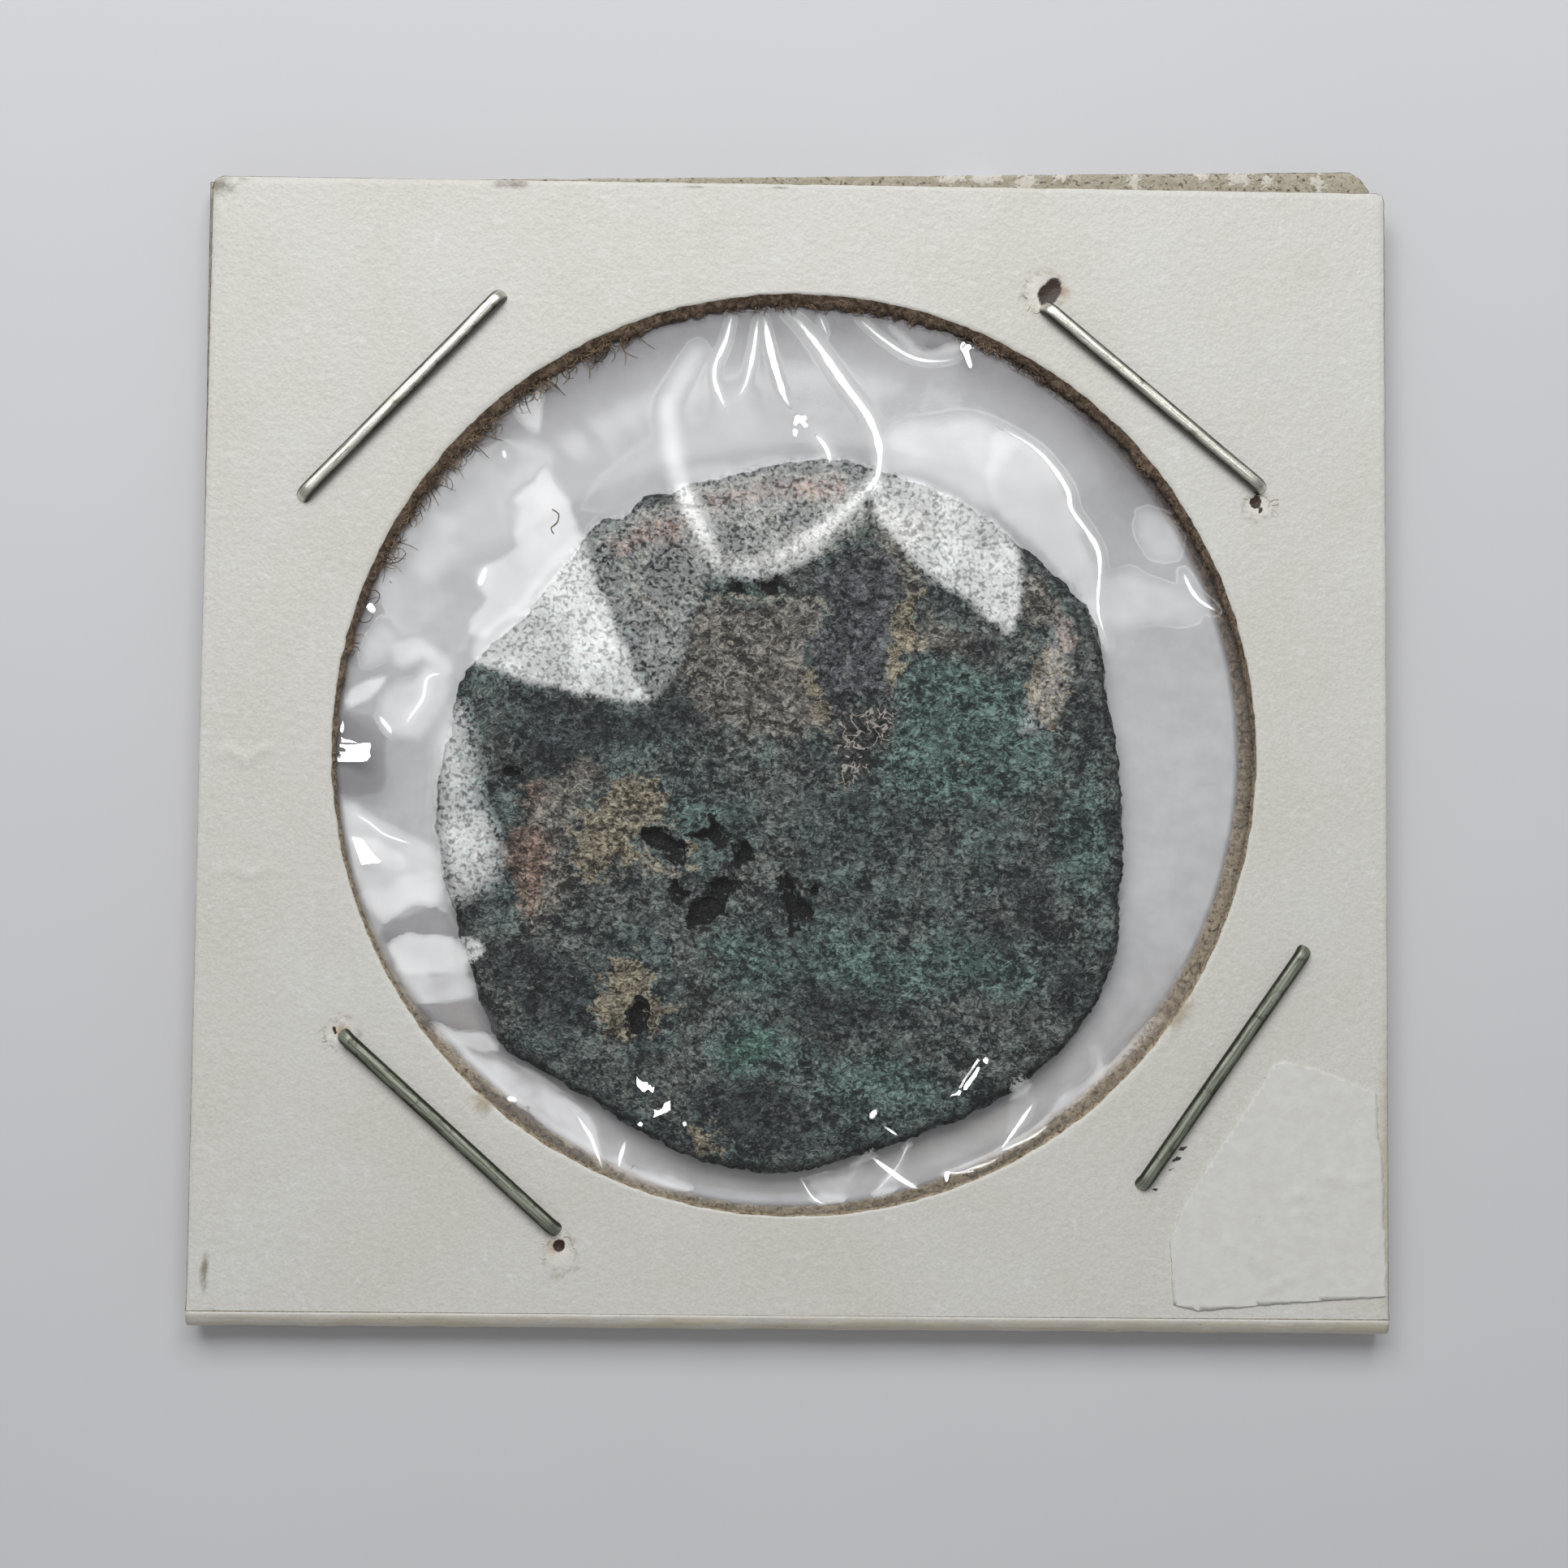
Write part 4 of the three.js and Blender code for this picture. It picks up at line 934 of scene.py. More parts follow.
# Small facets of the front film that mirror the window outright: strength, outline
GLINTS = [
    # star at the lower left
    (1.2, [
        (-6.56, -13.92), (-6.46, -14.04), (-6.32, -14.14), (-6.12, -14.15), (-6.06, -14.28),
        (-6, -14.26), (-5.91, -14.37), (-5.82, -14.34), (-5.83, -14.46), (-5.88, -14.59),
        (-5.98, -14.53), (-6.06, -14.43), (-6.14, -14.48), (-6.23, -14.56), (-6.33, -14.53),
        (-6.41, -14.43), (-6.54, -14.31), (-6.57, -14.12),
    ]),
    # flake under it
    (1.2, [
        (-5.14, -14.92), (-5.13, -15.29), (-5.27, -15.39), (-5.85, -15.63), (-5.78, -15.44),
        (-5.82, -15.29), (-5.63, -15.34), (-5.47, -15.24), (-5.37, -15.01), (-5.25, -14.96),
    ]),
    # two flecks beside it
    (0.7, [
        (-6.51, -15.9), (-6.37, -15.8), (-6.28, -15.9), (-6.33, -16), (-6.45, -15.99),
    ]),
    (0.5, [
        (-4.61, -15.83), (-4.51, -15.78), (-4.44, -15.82), (-4.44, -15.95), (-4.54, -15.99),
        (-4.59, -15.92),
    ]),
    # splinter at the lower right, with its paler side, its head and its foot
    (1.3, [
        (7.26, -14.35), (7.4, -14.34), (7.67, -13.93), (7.81, -13.77), (7.96, -13.39), (7.84, -13.39),
        (7.76, -13.53), (7.58, -13.79), (7.41, -13.99), (7.29, -14.16),
    ]),
    (0.45, [
        (7.06, -14.27), (7.18, -14.26), (7.38, -13.87), (7.53, -13.66), (7.94, -13.1), (7.85, -13.02),
        (7.67, -13.29), (7.5, -13.57), (7.4, -13.69), (7.23, -13.94),
    ]),
    (1.4, [
        (8.08, -13.06), (8.2, -12.96), (8.31, -13.02), (8.27, -13.23), (8.18, -13.22), (8.11, -13.17),
    ]),
    (1.1, [
        (6.69, -14.63), (6.78, -14.54), (6.93, -14.5), (7.06, -14.36), (7.18, -14.4), (7.11, -14.57),
        (6.92, -14.57),
    ]),
    # white facet at the left, with the edge and the sliver above it
    (1.7, [
        (-19.5, 0.08), (-19.23, 0.05), (-18.85, 0.05), (-18.47, 0.12), (-18.22, 0.13), (-18.14, 0.09),
        (-18.14, -0.05), (-18.18, -0.18), (-18.18, -0.32), (-18.13, -0.43), (-18.29, -0.64),
        (-18.51, -0.68), (-19.13, -0.68), (-19.59, -0.68), (-19.59, -0.49), (-19.45, -0.42),
        (-19.39, -0.36), (-19.52, -0.33), (-19.49, -0.25), (-19.25, -0.27), (-19.22, -0.15),
        (-19.37, -0.06), (-19.49, -0.04),
    ]),
    (0.8, [
        (-19.44, 0.39), (-19.32, 0.3), (-19.01, 0.25), (-18.68, 0.12), (-19.03, 0.14), (-19.43, 0.15),
    ]),
    (0.7, [
        (-19.39, 1.09), (-19.34, 0.94), (-19.33, 0.71), (-19.41, 0.55), (-19.5, 0.64), (-19.49, 0.85),
    ]),
    # triangle under it
    (1.1, [
        (-18.88, -3.91), (-18.6, -3.93), (-18.39, -4.01), (-18.21, -4.27), (-17.86, -4.71),
        (-17.58, -4.92), (-17.67, -4.99), (-18.14, -5.03), (-18.44, -5.08), (-18.58, -4.76),
        (-18.79, -4.21),
    ]),
    # knob at the top right, with its arm
    (1, [
        (7.02, 17.78), (7.11, 17.89), (7.26, 17.95), (7.4, 17.91), (7.45, 17.77), (7.49, 17.62),
        (7.36, 17.53), (7.43, 17.19), (7.52, 16.85), (7.46, 16.71), (7.37, 16.74), (7.26, 17.02),
        (7.17, 17.26), (7.1, 17.42), (6.99, 17.59),
    ]),
    (0.6, [
        (7.49, 17.68), (7.6, 17.77), (7.83, 17.86), (7.73, 17.73), (7.57, 17.6),
    ]),
    # squiggle above the coin, with its foot
    (0.9, [
        (-0.04, 14.46), (0.1, 14.4), (0.29, 14.44), (0.36, 14.29), (0.26, 14.16), (0.39, 14.04),
        (0.4, 13.93), (0.25, 13.91), (0.15, 14.02), (0.08, 14.11), (-0.02, 14.08), (-0.11, 13.96),
        (-0.24, 14.07), (-0.16, 14.21), (-0.19, 14.35),
    ]),
    (0.6, [
        (-0.18, 13.86), (-0.06, 13.81), (-0.02, 13.69), (-0.11, 13.48), (-0.23, 13.57), (-0.27, 13.75),
    ]),
    # tear at the foot, with its tail
    (1.2, [
        (6.5, -17.87), (6.61, -17.81), (6.76, -17.84), (6.71, -18), (6.69, -18.22), (6.63, -18.32),
        (6.55, -18.16),
    ]),
    (0.5, [
        (6.75, -17.84), (6.97, -17.87), (7.31, -17.83), (7.76, -17.81), (7.82, -17.86), (7.42, -17.92),
        (7.08, -17.95), (6.8, -17.91),
    ]),
]

# Painted shade where pleats of the front film tip away from the window: strength, softness of the edge,
# outline
PAINTED_SHADES = [
    # round the white facet at the left, and in the loop at the top
    (0.75, 0.12, [
        (-19.4, 1.5), (-18.9, 1.4), (-18.3, 1.3), (-17.8, 1.0), (-17.5, 0.7), (-17.4, 0.5), (-17.5, 0.1),
        (-17.5, -0.6), (-17.4, -1.2), (-17.6, -1.9), (-18.2, -2.1), (-19.5, -2.0), (-19.5, -1.0),
        (-19.6, 0.5),
    ]),
    (1.0, 0.1, [
        (5.4, 17.7), (5.6, 18.1), (6.0, 18.4), (6.3, 18.3), (6.5, 18.0), (6.2, 17.7), (6.0, 17.5),
        (5.7, 17.4), (5.4, 17.5),
    ]),
    # the painted shade by the upper left of the window
    (0.34, 0.9, [
        (-17.6, 6.6), (-16.6, 9.5), (-15.0, 11.8), (-13.2, 13.7), (-12.2, 13.2), (-12.8, 11.4), (-13.6, 9.2),
        (-14.8, 7.0), (-15.8, 5.6),
    ]),
    # bands between the pleats at the lower left
    (0.8, 0.1, [
        (-17.5, -7.6), (-16.5, -7.3), (-15.0, -6.7), (-14.6, -7.3), (-14.2, -8.2), (-15.8, -8.2),
        (-17.4, -8.4),
    ]),
    (0.8, 0.1, [
        (-16.0, -10.9), (-14.7, -10.9), (-13.4, -10.8), (-12.5, -11.7), (-12.6, -12.3), (-14.0, -12.2),
        (-15.5, -12.0),
    ]),
    (0.8, 0.15, [
        (-13.5, -13.9), (-12.2, -14.6), (-10.8, -15.4), (-9.5, -16.5), (-8.4, -17.6), (-9.3, -17.3),
        (-11.0, -16.2), (-13.0, -14.7),
    ]),
]


def film_rise(x, y, window_x, window_radius):
    """How far a film stands from the pocket's middle: flat on the coin, then down to the window's edge."""
    from_coin = np.hypot(x - COIN_X, y - COIN_Y) - COIN_CIRCLE
    to_foot = window_radius - FILM_FOOT - np.hypot(x - window_x, y)
    past_coin = np.clip(from_coin, 0, None)
    share = past_coin / np.clip(past_coin + to_foot, 1e-6, None)
    share = np.where(to_foot <= 0, 1.0, np.clip(share, 0, 1))
    share = 0.5 * share + 0.5 * share * share * (3 - 2 * share)
    return FILM_CREST + (FILM_FLAT - FILM_CREST) * share


def pleats(x, y, seed):
    """Pleats that run from the coin's edge to the window's, and shallow dents on the coin."""
    east, north = x - COIN_X, y - COIN_Y
    reach = np.hypot(east, north) + 1e-9
    fan = np.stack([east / reach * PLEATS_ROUND, north / reach * PLEATS_ROUND, reach * PLEAT_WAVER], 1)
    folds = lumps(fan, 1.0, seed, 3)
    dents = lumps(np.stack([x, y, np.zeros_like(x)], 1), DENT_WIDTH, seed + 1, 3)
    past_coin = ease(reach, COIN_CIRCLE - 3, COIN_CIRCLE)
    return folds * past_coin + 0.5 * dents * (1 - past_coin)


def front_film_top(x, y):
    """The height of the front film's upper face."""
    inside = ease(WINDOW_RADIUS - np.hypot(x, y), 0.2, 1.2)
    relief = (FRONT_SLACK + FRONT_RIPPLE * pleats(x, y, 11)) * inside
    return MIDDLE + film_rise(x, y, 0.0, WINDOW_RADIUS) + FILM_SKIN + relief


def film_mesh(name, steps, window_x, window_radius):
    """A film as one closed sheet: fine squares in the window, a border between the leaves, its other face."""
    bm = disc(steps)
    around = bm.verts.layers.float.new("around")
    inner = window_radius + FILM_LAP
    for vert in bm.verts:
        vert[around] = math.atan2(vert.co.y, vert.co.x)
        vert.co = (window_x + inner * vert.co.x, inner * vert.co.y, 1)
    half_width = RIGHT - FILM_SIDE_MARGIN
    half_height = (TOP - FOLD_LINE) / 2 - FILM_END_MARGIN
    middle_y = (TOP + FOLD_LINE) / 2

    def border(share, level):
        def at(vert):
            east, north = math.cos(vert[around]), math.sin(vert[around])
            reach = max(abs(east), abs(north))
            edge = Vector((half_width * east / reach, middle_y + half_height * north / reach, level))
            ring = Vector((window_x + inner * east, inner * north, level))
            return ring.lerp(edge, share)

        return at

    def under(share):
        def at(vert):
            east, north = math.cos(vert[around]), math.sin(vert[around])
            return Vector((window_x + inner * share * east, inner * share * north, 0))

        return at

    edges = open_edges(bm)
    for share, level in ((0.5, 1), (1, 1), (1, 0), (0.5, 0)):
        edges = grow(bm, edges, border(share, level), 1 - level)
    for step in range(FILM_UNDER_STEPS + 1):
        edges = grow(bm, edges, under(1 - step / FILM_UNDER_STEPS), 1)
    pole = Vector((window_x, 0, 0))
    middle = [vert for vert in bm.verts if (vert.co - pole).length < 1e-4]
    bmesh.ops.pointmerge(bm, verts=middle, merge_co=pole)
    bmesh.ops.scale(bm, vec=(1, 1, 0.1), verts=bm.verts)
    return to_mesh(bm, name)


def film_painted_shade(flat):
    """Painted shade on the front film: a band of painted shadow along the window's edge, and the listed
    patches.
    """
    reach = np.hypot(flat[:, 0], flat[:, 1])
    up = flat[:, 1] / np.clip(reach, 1e-6, None)
    # painted shadow along the window's edge, deepest at the top, where the board shades the film
    painted_shade = ease(reach, 15.0, 19.6) * (0.03 + 0.42 * ease(up, 0.0, 0.9))
    for strength, softness, outline in PAINTED_SHADES:
        depth = inside_depth(flat, smooth_line(outline, 0.4, closed=True))
        painted_shade = np.maximum(painted_shade, strength * ease(depth, -softness, softness))
    return painted_shade


def coin_reach(x, y):
    """How far inside the coin's outline each place lies. Outside it is negative."""
    turned = np.arctan2(y - COIN_Y, x - COIN_X)
    return np.interp(turned, *coin_outline(), period=2 * math.pi) - np.hypot(x - COIN_X, y - COIN_Y)


def film_flat_shade(flat):
    """Where the front film is painted a flat brownish-grey shade near its edge: widest at the lower right."""
    reach = np.hypot(flat[:, 0], flat[:, 1])
    turn = np.degrees(np.arctan2(flat[:, 1], flat[:, 0]))
    cloud_and_shade = swells(turn, PAINTED_SHADE_SWELLS)
    blotches = 0.8 + 0.4 * lumps(np.stack([flat[:, 0], flat[:, 1], 0 * reach], 1), 1.2, 23, 3)
    return np.clip(cloud_and_shade * ease(reach, 15.5, 18.2) * ease(reach, 19.2, 18.7) * blotches, 0, 1)


def film_shine(flat):
    """How strongly the front film mirrors the window at each point, from its veils and its creases."""
    deep = np.stack([flat[:, 0], flat[:, 1], np.zeros(len(flat))], 1)
    warp = np.stack([lumps(deep, 0.9, 15, 4), lumps(deep, 0.9, 16, 4)], 1)
    warped = flat + VEIL_WAVER * warp
    clouds = 0.9 + 0.3 * lumps(deep, 1.8, 17, 3)
    shine = np.zeros(len(flat))
    for strength, softness, outline in VEILS:
        depth = inside_depth(warped, smooth_line(outline, 0.4, closed=True))
        shine += strength * ease(depth, -softness, softness) * clouds
    for _, _, half, strength, knots in CREASES:
        if half:
            away, along = line_distance(flat, smooth_line(knots, 0.3))
            taper = np.sin(np.pi * (0.06 + 0.88 * along)) ** 0.7
            shine += strength * taper * np.exp(-((away / half) ** 2)) * clouds
    return np.clip(shine, 0, SHINE_MOST)


def make_front_film():
    """The front film, painted with where it mirrors and with its grey-lilac and brownish-grey painted shade.
    """
    mesh = film_mesh("front_film_sheet", FILM_STEPS, 0.0, WINDOW_RADIUS)
    points = places(mesh)
    upper = points[:, 2] > 0.05
    x, y = points[:, 0], points[:, 1]
    shine = np.zeros(len(points))
    shine[upper] = film_shine(points[upper, :2])
    under = MIDDLE + film_rise(x, y, 0.0, WINDOW_RADIUS)
    top = np.maximum(front_film_top(x, y), under + FILM_SKIN / 3)
    put(mesh, np.stack([x, y, np.where(upper, top, under)], 1))
    # the painted shade, which the film's material lays on as a grey-lilac cover
    painted_shade = np.zeros(len(points))
    painted_shade[upper] = film_painted_shade(points[upper, :2])
    paint(mesh, "painted_shade", painted_shade)
    on_coin = coin_reach(x, y)
    touch = ease(on_coin, -0.1, 0.3)
    paint(mesh, "touch", touch)
    calmer = SHINE_OFF_COIN * (1 - np.exp(-shine / SHINE_OFF_COIN))
    paint(mesh, "shine", calmer + (shine - calmer) * touch)
    # the flat brownish-grey painted shade near the window's lower edge, kept off the coin
    cloud_and_shade = np.zeros(len(points))
    cloud_and_shade[upper] = film_flat_shade(points[upper, :2]) * ease(on_coin[upper], 0.0, -0.35)
    paint(mesh, "cloud_and_shade", cloud_and_shade)
    finishes = [film_finish("film_face", True), film_finish("film_under", False)]
    return settle(mesh, "holder", finishes, ["front_film"])


def make_back_film():
    """The back film, painted with its cloud, which is strongest at the sides of the window."""
    mesh = film_mesh("back_film_sheet", BACK_FILM_STEPS, BACK_WINDOW_X, BACK_WINDOW_RADIUS)
    points = places(mesh)
    upper = points[:, 2] > 0.05
    x, y = points[:, 0], points[:, 1]
    inside = ease(BACK_WINDOW_RADIUS - np.hypot(x - BACK_WINDOW_X, y), 0.2, 1.2)
    relief = (BACK_SLACK + BACK_RIPPLE * pleats(x, y, 21)) * inside
    out = film_rise(x, y, BACK_WINDOW_X, BACK_WINDOW_RADIUS) + relief
    put(mesh, np.stack([x, y, MIDDLE - out - np.where(upper, 0, FILM_SKIN)], 1))
    turn = np.arctan2(y, x - BACK_WINDOW_X)
    past_rim = np.hypot(x - BACK_WINDOW_X, y) - back_rim(turn)
    clouded = ease(coin_reach(x, y), 0.3, -0.1) * ease(past_rim, 0.1, -0.2)
    clouded *= 1 + 1.2 * ease(np.sin(turn), 0.8, 0.3)
    paint(mesh, "cloud_and_shade", BACK_FILM_CLOUD * clouded * upper)
    finishes = [clouded_film("back_film_face"), film_finish("back_film_under", False)]
    return settle(mesh, "holder", finishes, ["back_film"])


def clouded_film(name):
    """Clear film that has gone milky where it is painted so."""
    finish = Finish(name)
    blotches = finish.grain(0.5, 4.0, 0.6).rise(0.2, 0.8) * 0.3 + 0.7
    cloud = finish.painted("cloud_and_shade") * blotches
    normal = finish.bump(finish.grain(0.8, 3.0, 0.5), 0.05, 0.5)
    return finish.surface(
        base_color=ink(250, 251, 253), roughness=0.65, alpha=cloud + 0.04, normal=normal, ior=1.25
    )


def film_finish(name, mirrors):
    """Clear gloss film. Where it is painted to shine it tips towards the window and mirrors it."""
    finish = Finish(name)
    facing = finish.node("ShaderNodeLayerWeight", None, {"Blend": 0.5}, "Facing")
    glancing = facing ** 5 * 0.8
    values = {"base_color": (1.0, 1.0, 1.0, 1.0), "metallic": 1.0, "roughness": 0.09}
    if not mirrors:
        return finish.surface(alpha=glancing + 0.026, **values)
    shine = finish.painted("shine")
    painted_shade = finish.painted("painted_shade")
    touch = finish.painted("touch")
    # specks in the painted reflection, where the coin's grit breaks it up
    painted_gleam_specks = finish.grain(5.5, 1.0, 0.5, 0.6).rise(0.36, 0.52) - 0.66
    wisps = finish.grain(0.8, 3.0, 0.6).rise(0.3, 0.7)
    grit = painted_gleam_specks * touch * shine.rise(0.0, 0.1) * (shine * 0.35 + 0.3)
    cover = (shine * (wisps * 0.1 + touch * 0.07 + 0.75) + grit * GRIT_IN_SHINE) * SHINE_TO_COVER
    tipped = shine.rise(0.0, 0.06)
    sway = (finish.grain(0.35, 2.0) - 0.5) * 0.05
    lean = finish.direction(sway, sway + WINDOW_LEAN, 1.0)
    flat = finish.direction(sway * 2, sway * 2, 1.0)
    own = finish.node("ShaderNodeNewGeometry", output="Normal")
    calm = finish.steer(flat, own, FILM_LIVELINESS)
    normal = finish.unit(finish.steer(calm, lean, tipped))
    # the flat brownish-grey painted shade, thinned where the film mirrors
    cloud_and_shade = finish.painted("cloud_and_shade") * (1 - shine.rise(0.01, 0.4) * 0.7)
    # dim: the grey-lilac painted shade, where the film does not mirror
    dim = painted_shade * (1 - tipped) * PAINTED_SHADE_COVER
    dull = (cloud_and_shade + dim).rise(0.0, 0.12)
    # the painted shade's colours: grey-lilac, and brownish grey where the flat shade lies
    colour = finish.mix(ink(134, 130, 136), ink(176, 168, 158), cloud_and_shade.rise(0.0, 0.2))
    values["base_color"] = finish.mix((1.0, 1.0, 1.0, 1.0), colour, dull)
    values["metallic"] = 1 - dull
    clear = (1 - tipped) * 0.02
    return finish.surface(alpha=cover + clear + dim + glancing + cloud_and_shade, normal=normal, **values)


def strand(bm, line, widths, heights, sides):
    """A closed thread or ridge along a line of points, as wide and as high at each point as is said."""
    turn = bm.verts.layers.float["turn"]
    along = bm.verts.layers.float["along"]
    ring = bmesh.ops.create_circle(bm, cap_ends=False, segments=sides, radius=1)["verts"]
    for vert in ring:
        vert[turn] = math.atan2(vert.co.y, vert.co.x)
    edges = list({edge for vert in ring for edge in vert.link_edges})

    def station(index):
        before, after = line[max(index - 1, 0)], line[min(index + 1, len(line) - 1)]
        ahead = (after - before).normalized()
        side = ahead.cross(Vector((0, 0, 1)))
        side = side.normalized() if side.length > 1e-6 else Vector((1, 0, 0))
        up = side.cross(ahead)
        wide = side * (0.5 * widths[index])
        high = up * (0.5 * heights[index])

        def at(vert):
            vert[along] = index / (len(line) - 1)
            return line[index] + wide * math.cos(vert[turn]) + high * math.sin(vert[turn])

        return at

    first = station(0)
    for vert in ring:
        vert.co = first(vert)
    start = edges
    for index in range(1, len(line)):
        edges = grow(bm, edges, station(index))
    bmesh.ops.edgeloop_fill(bm, edges=start)
    bmesh.ops.edgeloop_fill(bm, edges=edges)


def new_strands():
    """An empty bmesh with the layers that strand() fills, and one for a strand's brightness."""
    bm = bmesh.new()
    for name in ("turn", "along", "bright"):
        bm.verts.layers.float.new(name)
    return bm


def make_creases():
    """The sharp creases that stand up off the front film."""
    bm = new_strands()
    bright = bm.verts.layers.float["bright"]
    for width, strength, _, _, knots in CREASES:
        if not width:
            continue
        flat = smooth_line(knots, 0.14)
        height = front_film_top(flat[:, 0], flat[:, 1]) + CREASE_LIFT
        line = [Vector((x, y, z)) for (x, y), z in zip(flat, height)]
        waver = 1 + 0.45 * lumps(np.array(line), 0.8, 19, 2)
        taper = np.sin(np.pi * np.linspace(0.05, 0.95, len(line))) ** 0.6
        widths = 1.5 * width * taper * waver
        known = set(bm.verts)
        strand(bm, line, widths, np.minimum(CREASE_HEIGHT, 0.4 * widths), 12)
        for vert in bm.verts:
            if vert not in known:
                vert[bright] = strength
    mesh = to_mesh(bm, "film_creases")
    edge = np.clip(np.sin(painted(mesh, "turn")), 0, 1)
    ends = np.sin(np.pi * np.clip(painted(mesh, "along"), 0.03, 0.97)) ** 0.6
    paint(mesh, "core", edge * ends)
    return settle(mesh, "holder", [facet_finish("film_crease", "core")])


def make_glints():
    """Small flat facets of the front film, each as its outline, thickened upwards."""
    bm = bmesh.new()
    bright = bm.verts.layers.float.new("bright")
    for strength, outline in GLINTS:
        flat = np.array(outline, float)
        level = front_film_top(flat[:, 0], flat[:, 1]) + GLINT_LIFT
        verts = [bm.verts.new((x, y, z)) for (x, y), z in zip(flat, level)]
        for vert in verts:
            vert[bright] = strength
        bm.faces.new(verts)
    bmesh.ops.triangulate(bm, faces=bm.faces[:])
    raised = bmesh.ops.extrude_face_region(bm, geom=bm.faces[:])["geom"]
    for part in raised:
        if isinstance(part, bmesh.types.BMVert):
            part.co.z += GLINT_THICKNESS
    mesh = to_mesh(bm, "film_glints")
    return settle(mesh, "holder", [facet_finish("film_glint", None)], smooth=False)


def facet_finish(name, core):
    """Film folded or creased sharp: it mirrors the window. A crease does so along its crest alone."""
    finish = Finish(name)
    broken = finish.grain(2.6, 3.0, 0.6).rise(0.32, 0.6) * 0.45 + 0.55
    cover = finish.painted("bright") * broken * FACET_COVER
    if core:
        cover = cover * finish.painted(core).rise(0.1, 0.95)
    normal = finish.unit(finish.direction(-0.02, WINDOW_LEAN, 1.0))
    return finish.surface(
        base_color=(1.0, 1.0, 1.0, 1.0), metallic=1.0, roughness=0.12, alpha=cover, normal=normal
    )


# The card


LEAF_SIDES = 720
LEAF_RINGS = 34
LEAF_SOFTNESS = 0.05
FACE_WAVES = 0.012
HOLE_DENT = 0.1

# The front leaf's worn corners: place, wear. And the back leaf's, which folded askew
WORN_CORNERS = ((-RIGHT, TOP, 0.45), (RIGHT, TOP, 0.3))
BACK_TOP_RIGHT = (RIGHT - 0.45, TOP + 1.2)
BACK_TOP_LEFT = (-RIGHT - 0.3, TOP)

# How far the front leaf's brown core and the back leaf's cut come into the window: direction, spread, reach
CORE_LEAST = 0.05
CORE_REACH = [(95, 50, 0.36), (150, 30, 0.16), (35, 25, 0.16)]
BACK_CUT_REACH = [(-45, 28, 0.24), (-128, 26, 0.4), (165, 35, 0.2), (40, 30, 0.15)]

# Marks on the front leaf, as ovals: middle, half width and half height, turn in degrees
STAINS = {
    "olive": [
        (-25.03, 24.12, 0.94, 0.55, 0), (-23.88, 24.35, 0.69, 0.17, 0), (-24.78, 23.87, 0.14, 0.31, 0),
        (-7.96, 24.27, 0.42, 0.1, 0), (-4.45, 24.36, 0.69, 0.1, 0), (-0.94, 24.38, 0.55, 0.1, 0),
        (-24.13, -24.24, 1.18, 0.49, 0), (-24.62, -22.19, 0.28, 1.21, 0), (24.91, -24.21, 0.62, 0.14, 0),
    ],
    "glue": [(-12.99, -15.03, 0.76, 0.76, -40), (16.36, -11.16, 0.62, 1.32, -30)],
    "umber": [(-12.59, 24.38, 1.11, 0.28, 0)],
    "cream": [(25.3, -17.53, 0.5, 8.2, 0), (0.0, -24.6, 26.0, 0.45, 0)],
    "frayed": [
        (-19.1, -12.2, 0.85, 0.75, 20), (-9.71, -21.4, 0.75, 0.95, 0), (10.5, 20.05, 0.9, 1.05, -20),
        (19.85, 10.75, 0.75, 0.6, 0),
    ],
    "scorched": [(11.35, 20.05, 0.45, 0.65, 10), (-19.1, -12.1, 0.5, 0.4, 0), (-9.9, -21.1, 0.5, 0.5, 0)],
    "torn": [
        (-19.35, -12.1, 0.14, 0.22, 30), (-9.75, -21.05, 0.3, 0.3, 20), (10.82, 20.0, 0.5, 0.74, -35),
        (19.75, 10.95, 0.3, 0.34, 0), (19.95, 10.6, 0.16, 0.14, 0),
    ],
    "ink": [(16.43, -17.09, 0.16, 1.1, -30), (15.5, -18.5, 0.2, 0.09, 0)],
}

# Bits of white paper left on the back leaf's open edge
PAPER_BITS = [
    (6.6, 25.2, 0.7, 0.25, 4), (8.1, 25.3, 0.9, 0.35, -4), (9.8, 25.1, 0.5, 0.3, 20),
    (11.4, 25.4, 0.35, 0.25, 0), (14.6, 25.2, 0.3, 0.4, 10), (17.6, 25.5, 0.4, 0.3, -20),
    (19.2, 25.4, 0.7, 0.3, 5), (20.4, 25.2, 0.4, 0.35, 0), (22.7, 25.3, 0.35, 0.5, 12),
]

# Ridges pressed into the front leaf: height, half width, line
FACE_RIDGES = [
    (0.07, 0.16, [(-24.79, -0.65), (-24.0, -0.29), (-23.31, -0.74), (-22.63, -0.17), (-21.93, -0.44)]),
    (0.06, 0.16, [(-24.57, -5.65), (-23.89, -5.23), (-23.19, -5.64), (-22.51, -5.28), (-21.83, -5.35)]),
    (-0.05, 0.1, [(-25.04, 23.5), (-25.0, 12.0), (-24.94, 0.0), (-24.89, -10.8), (-24.83, -23.37)]),
]


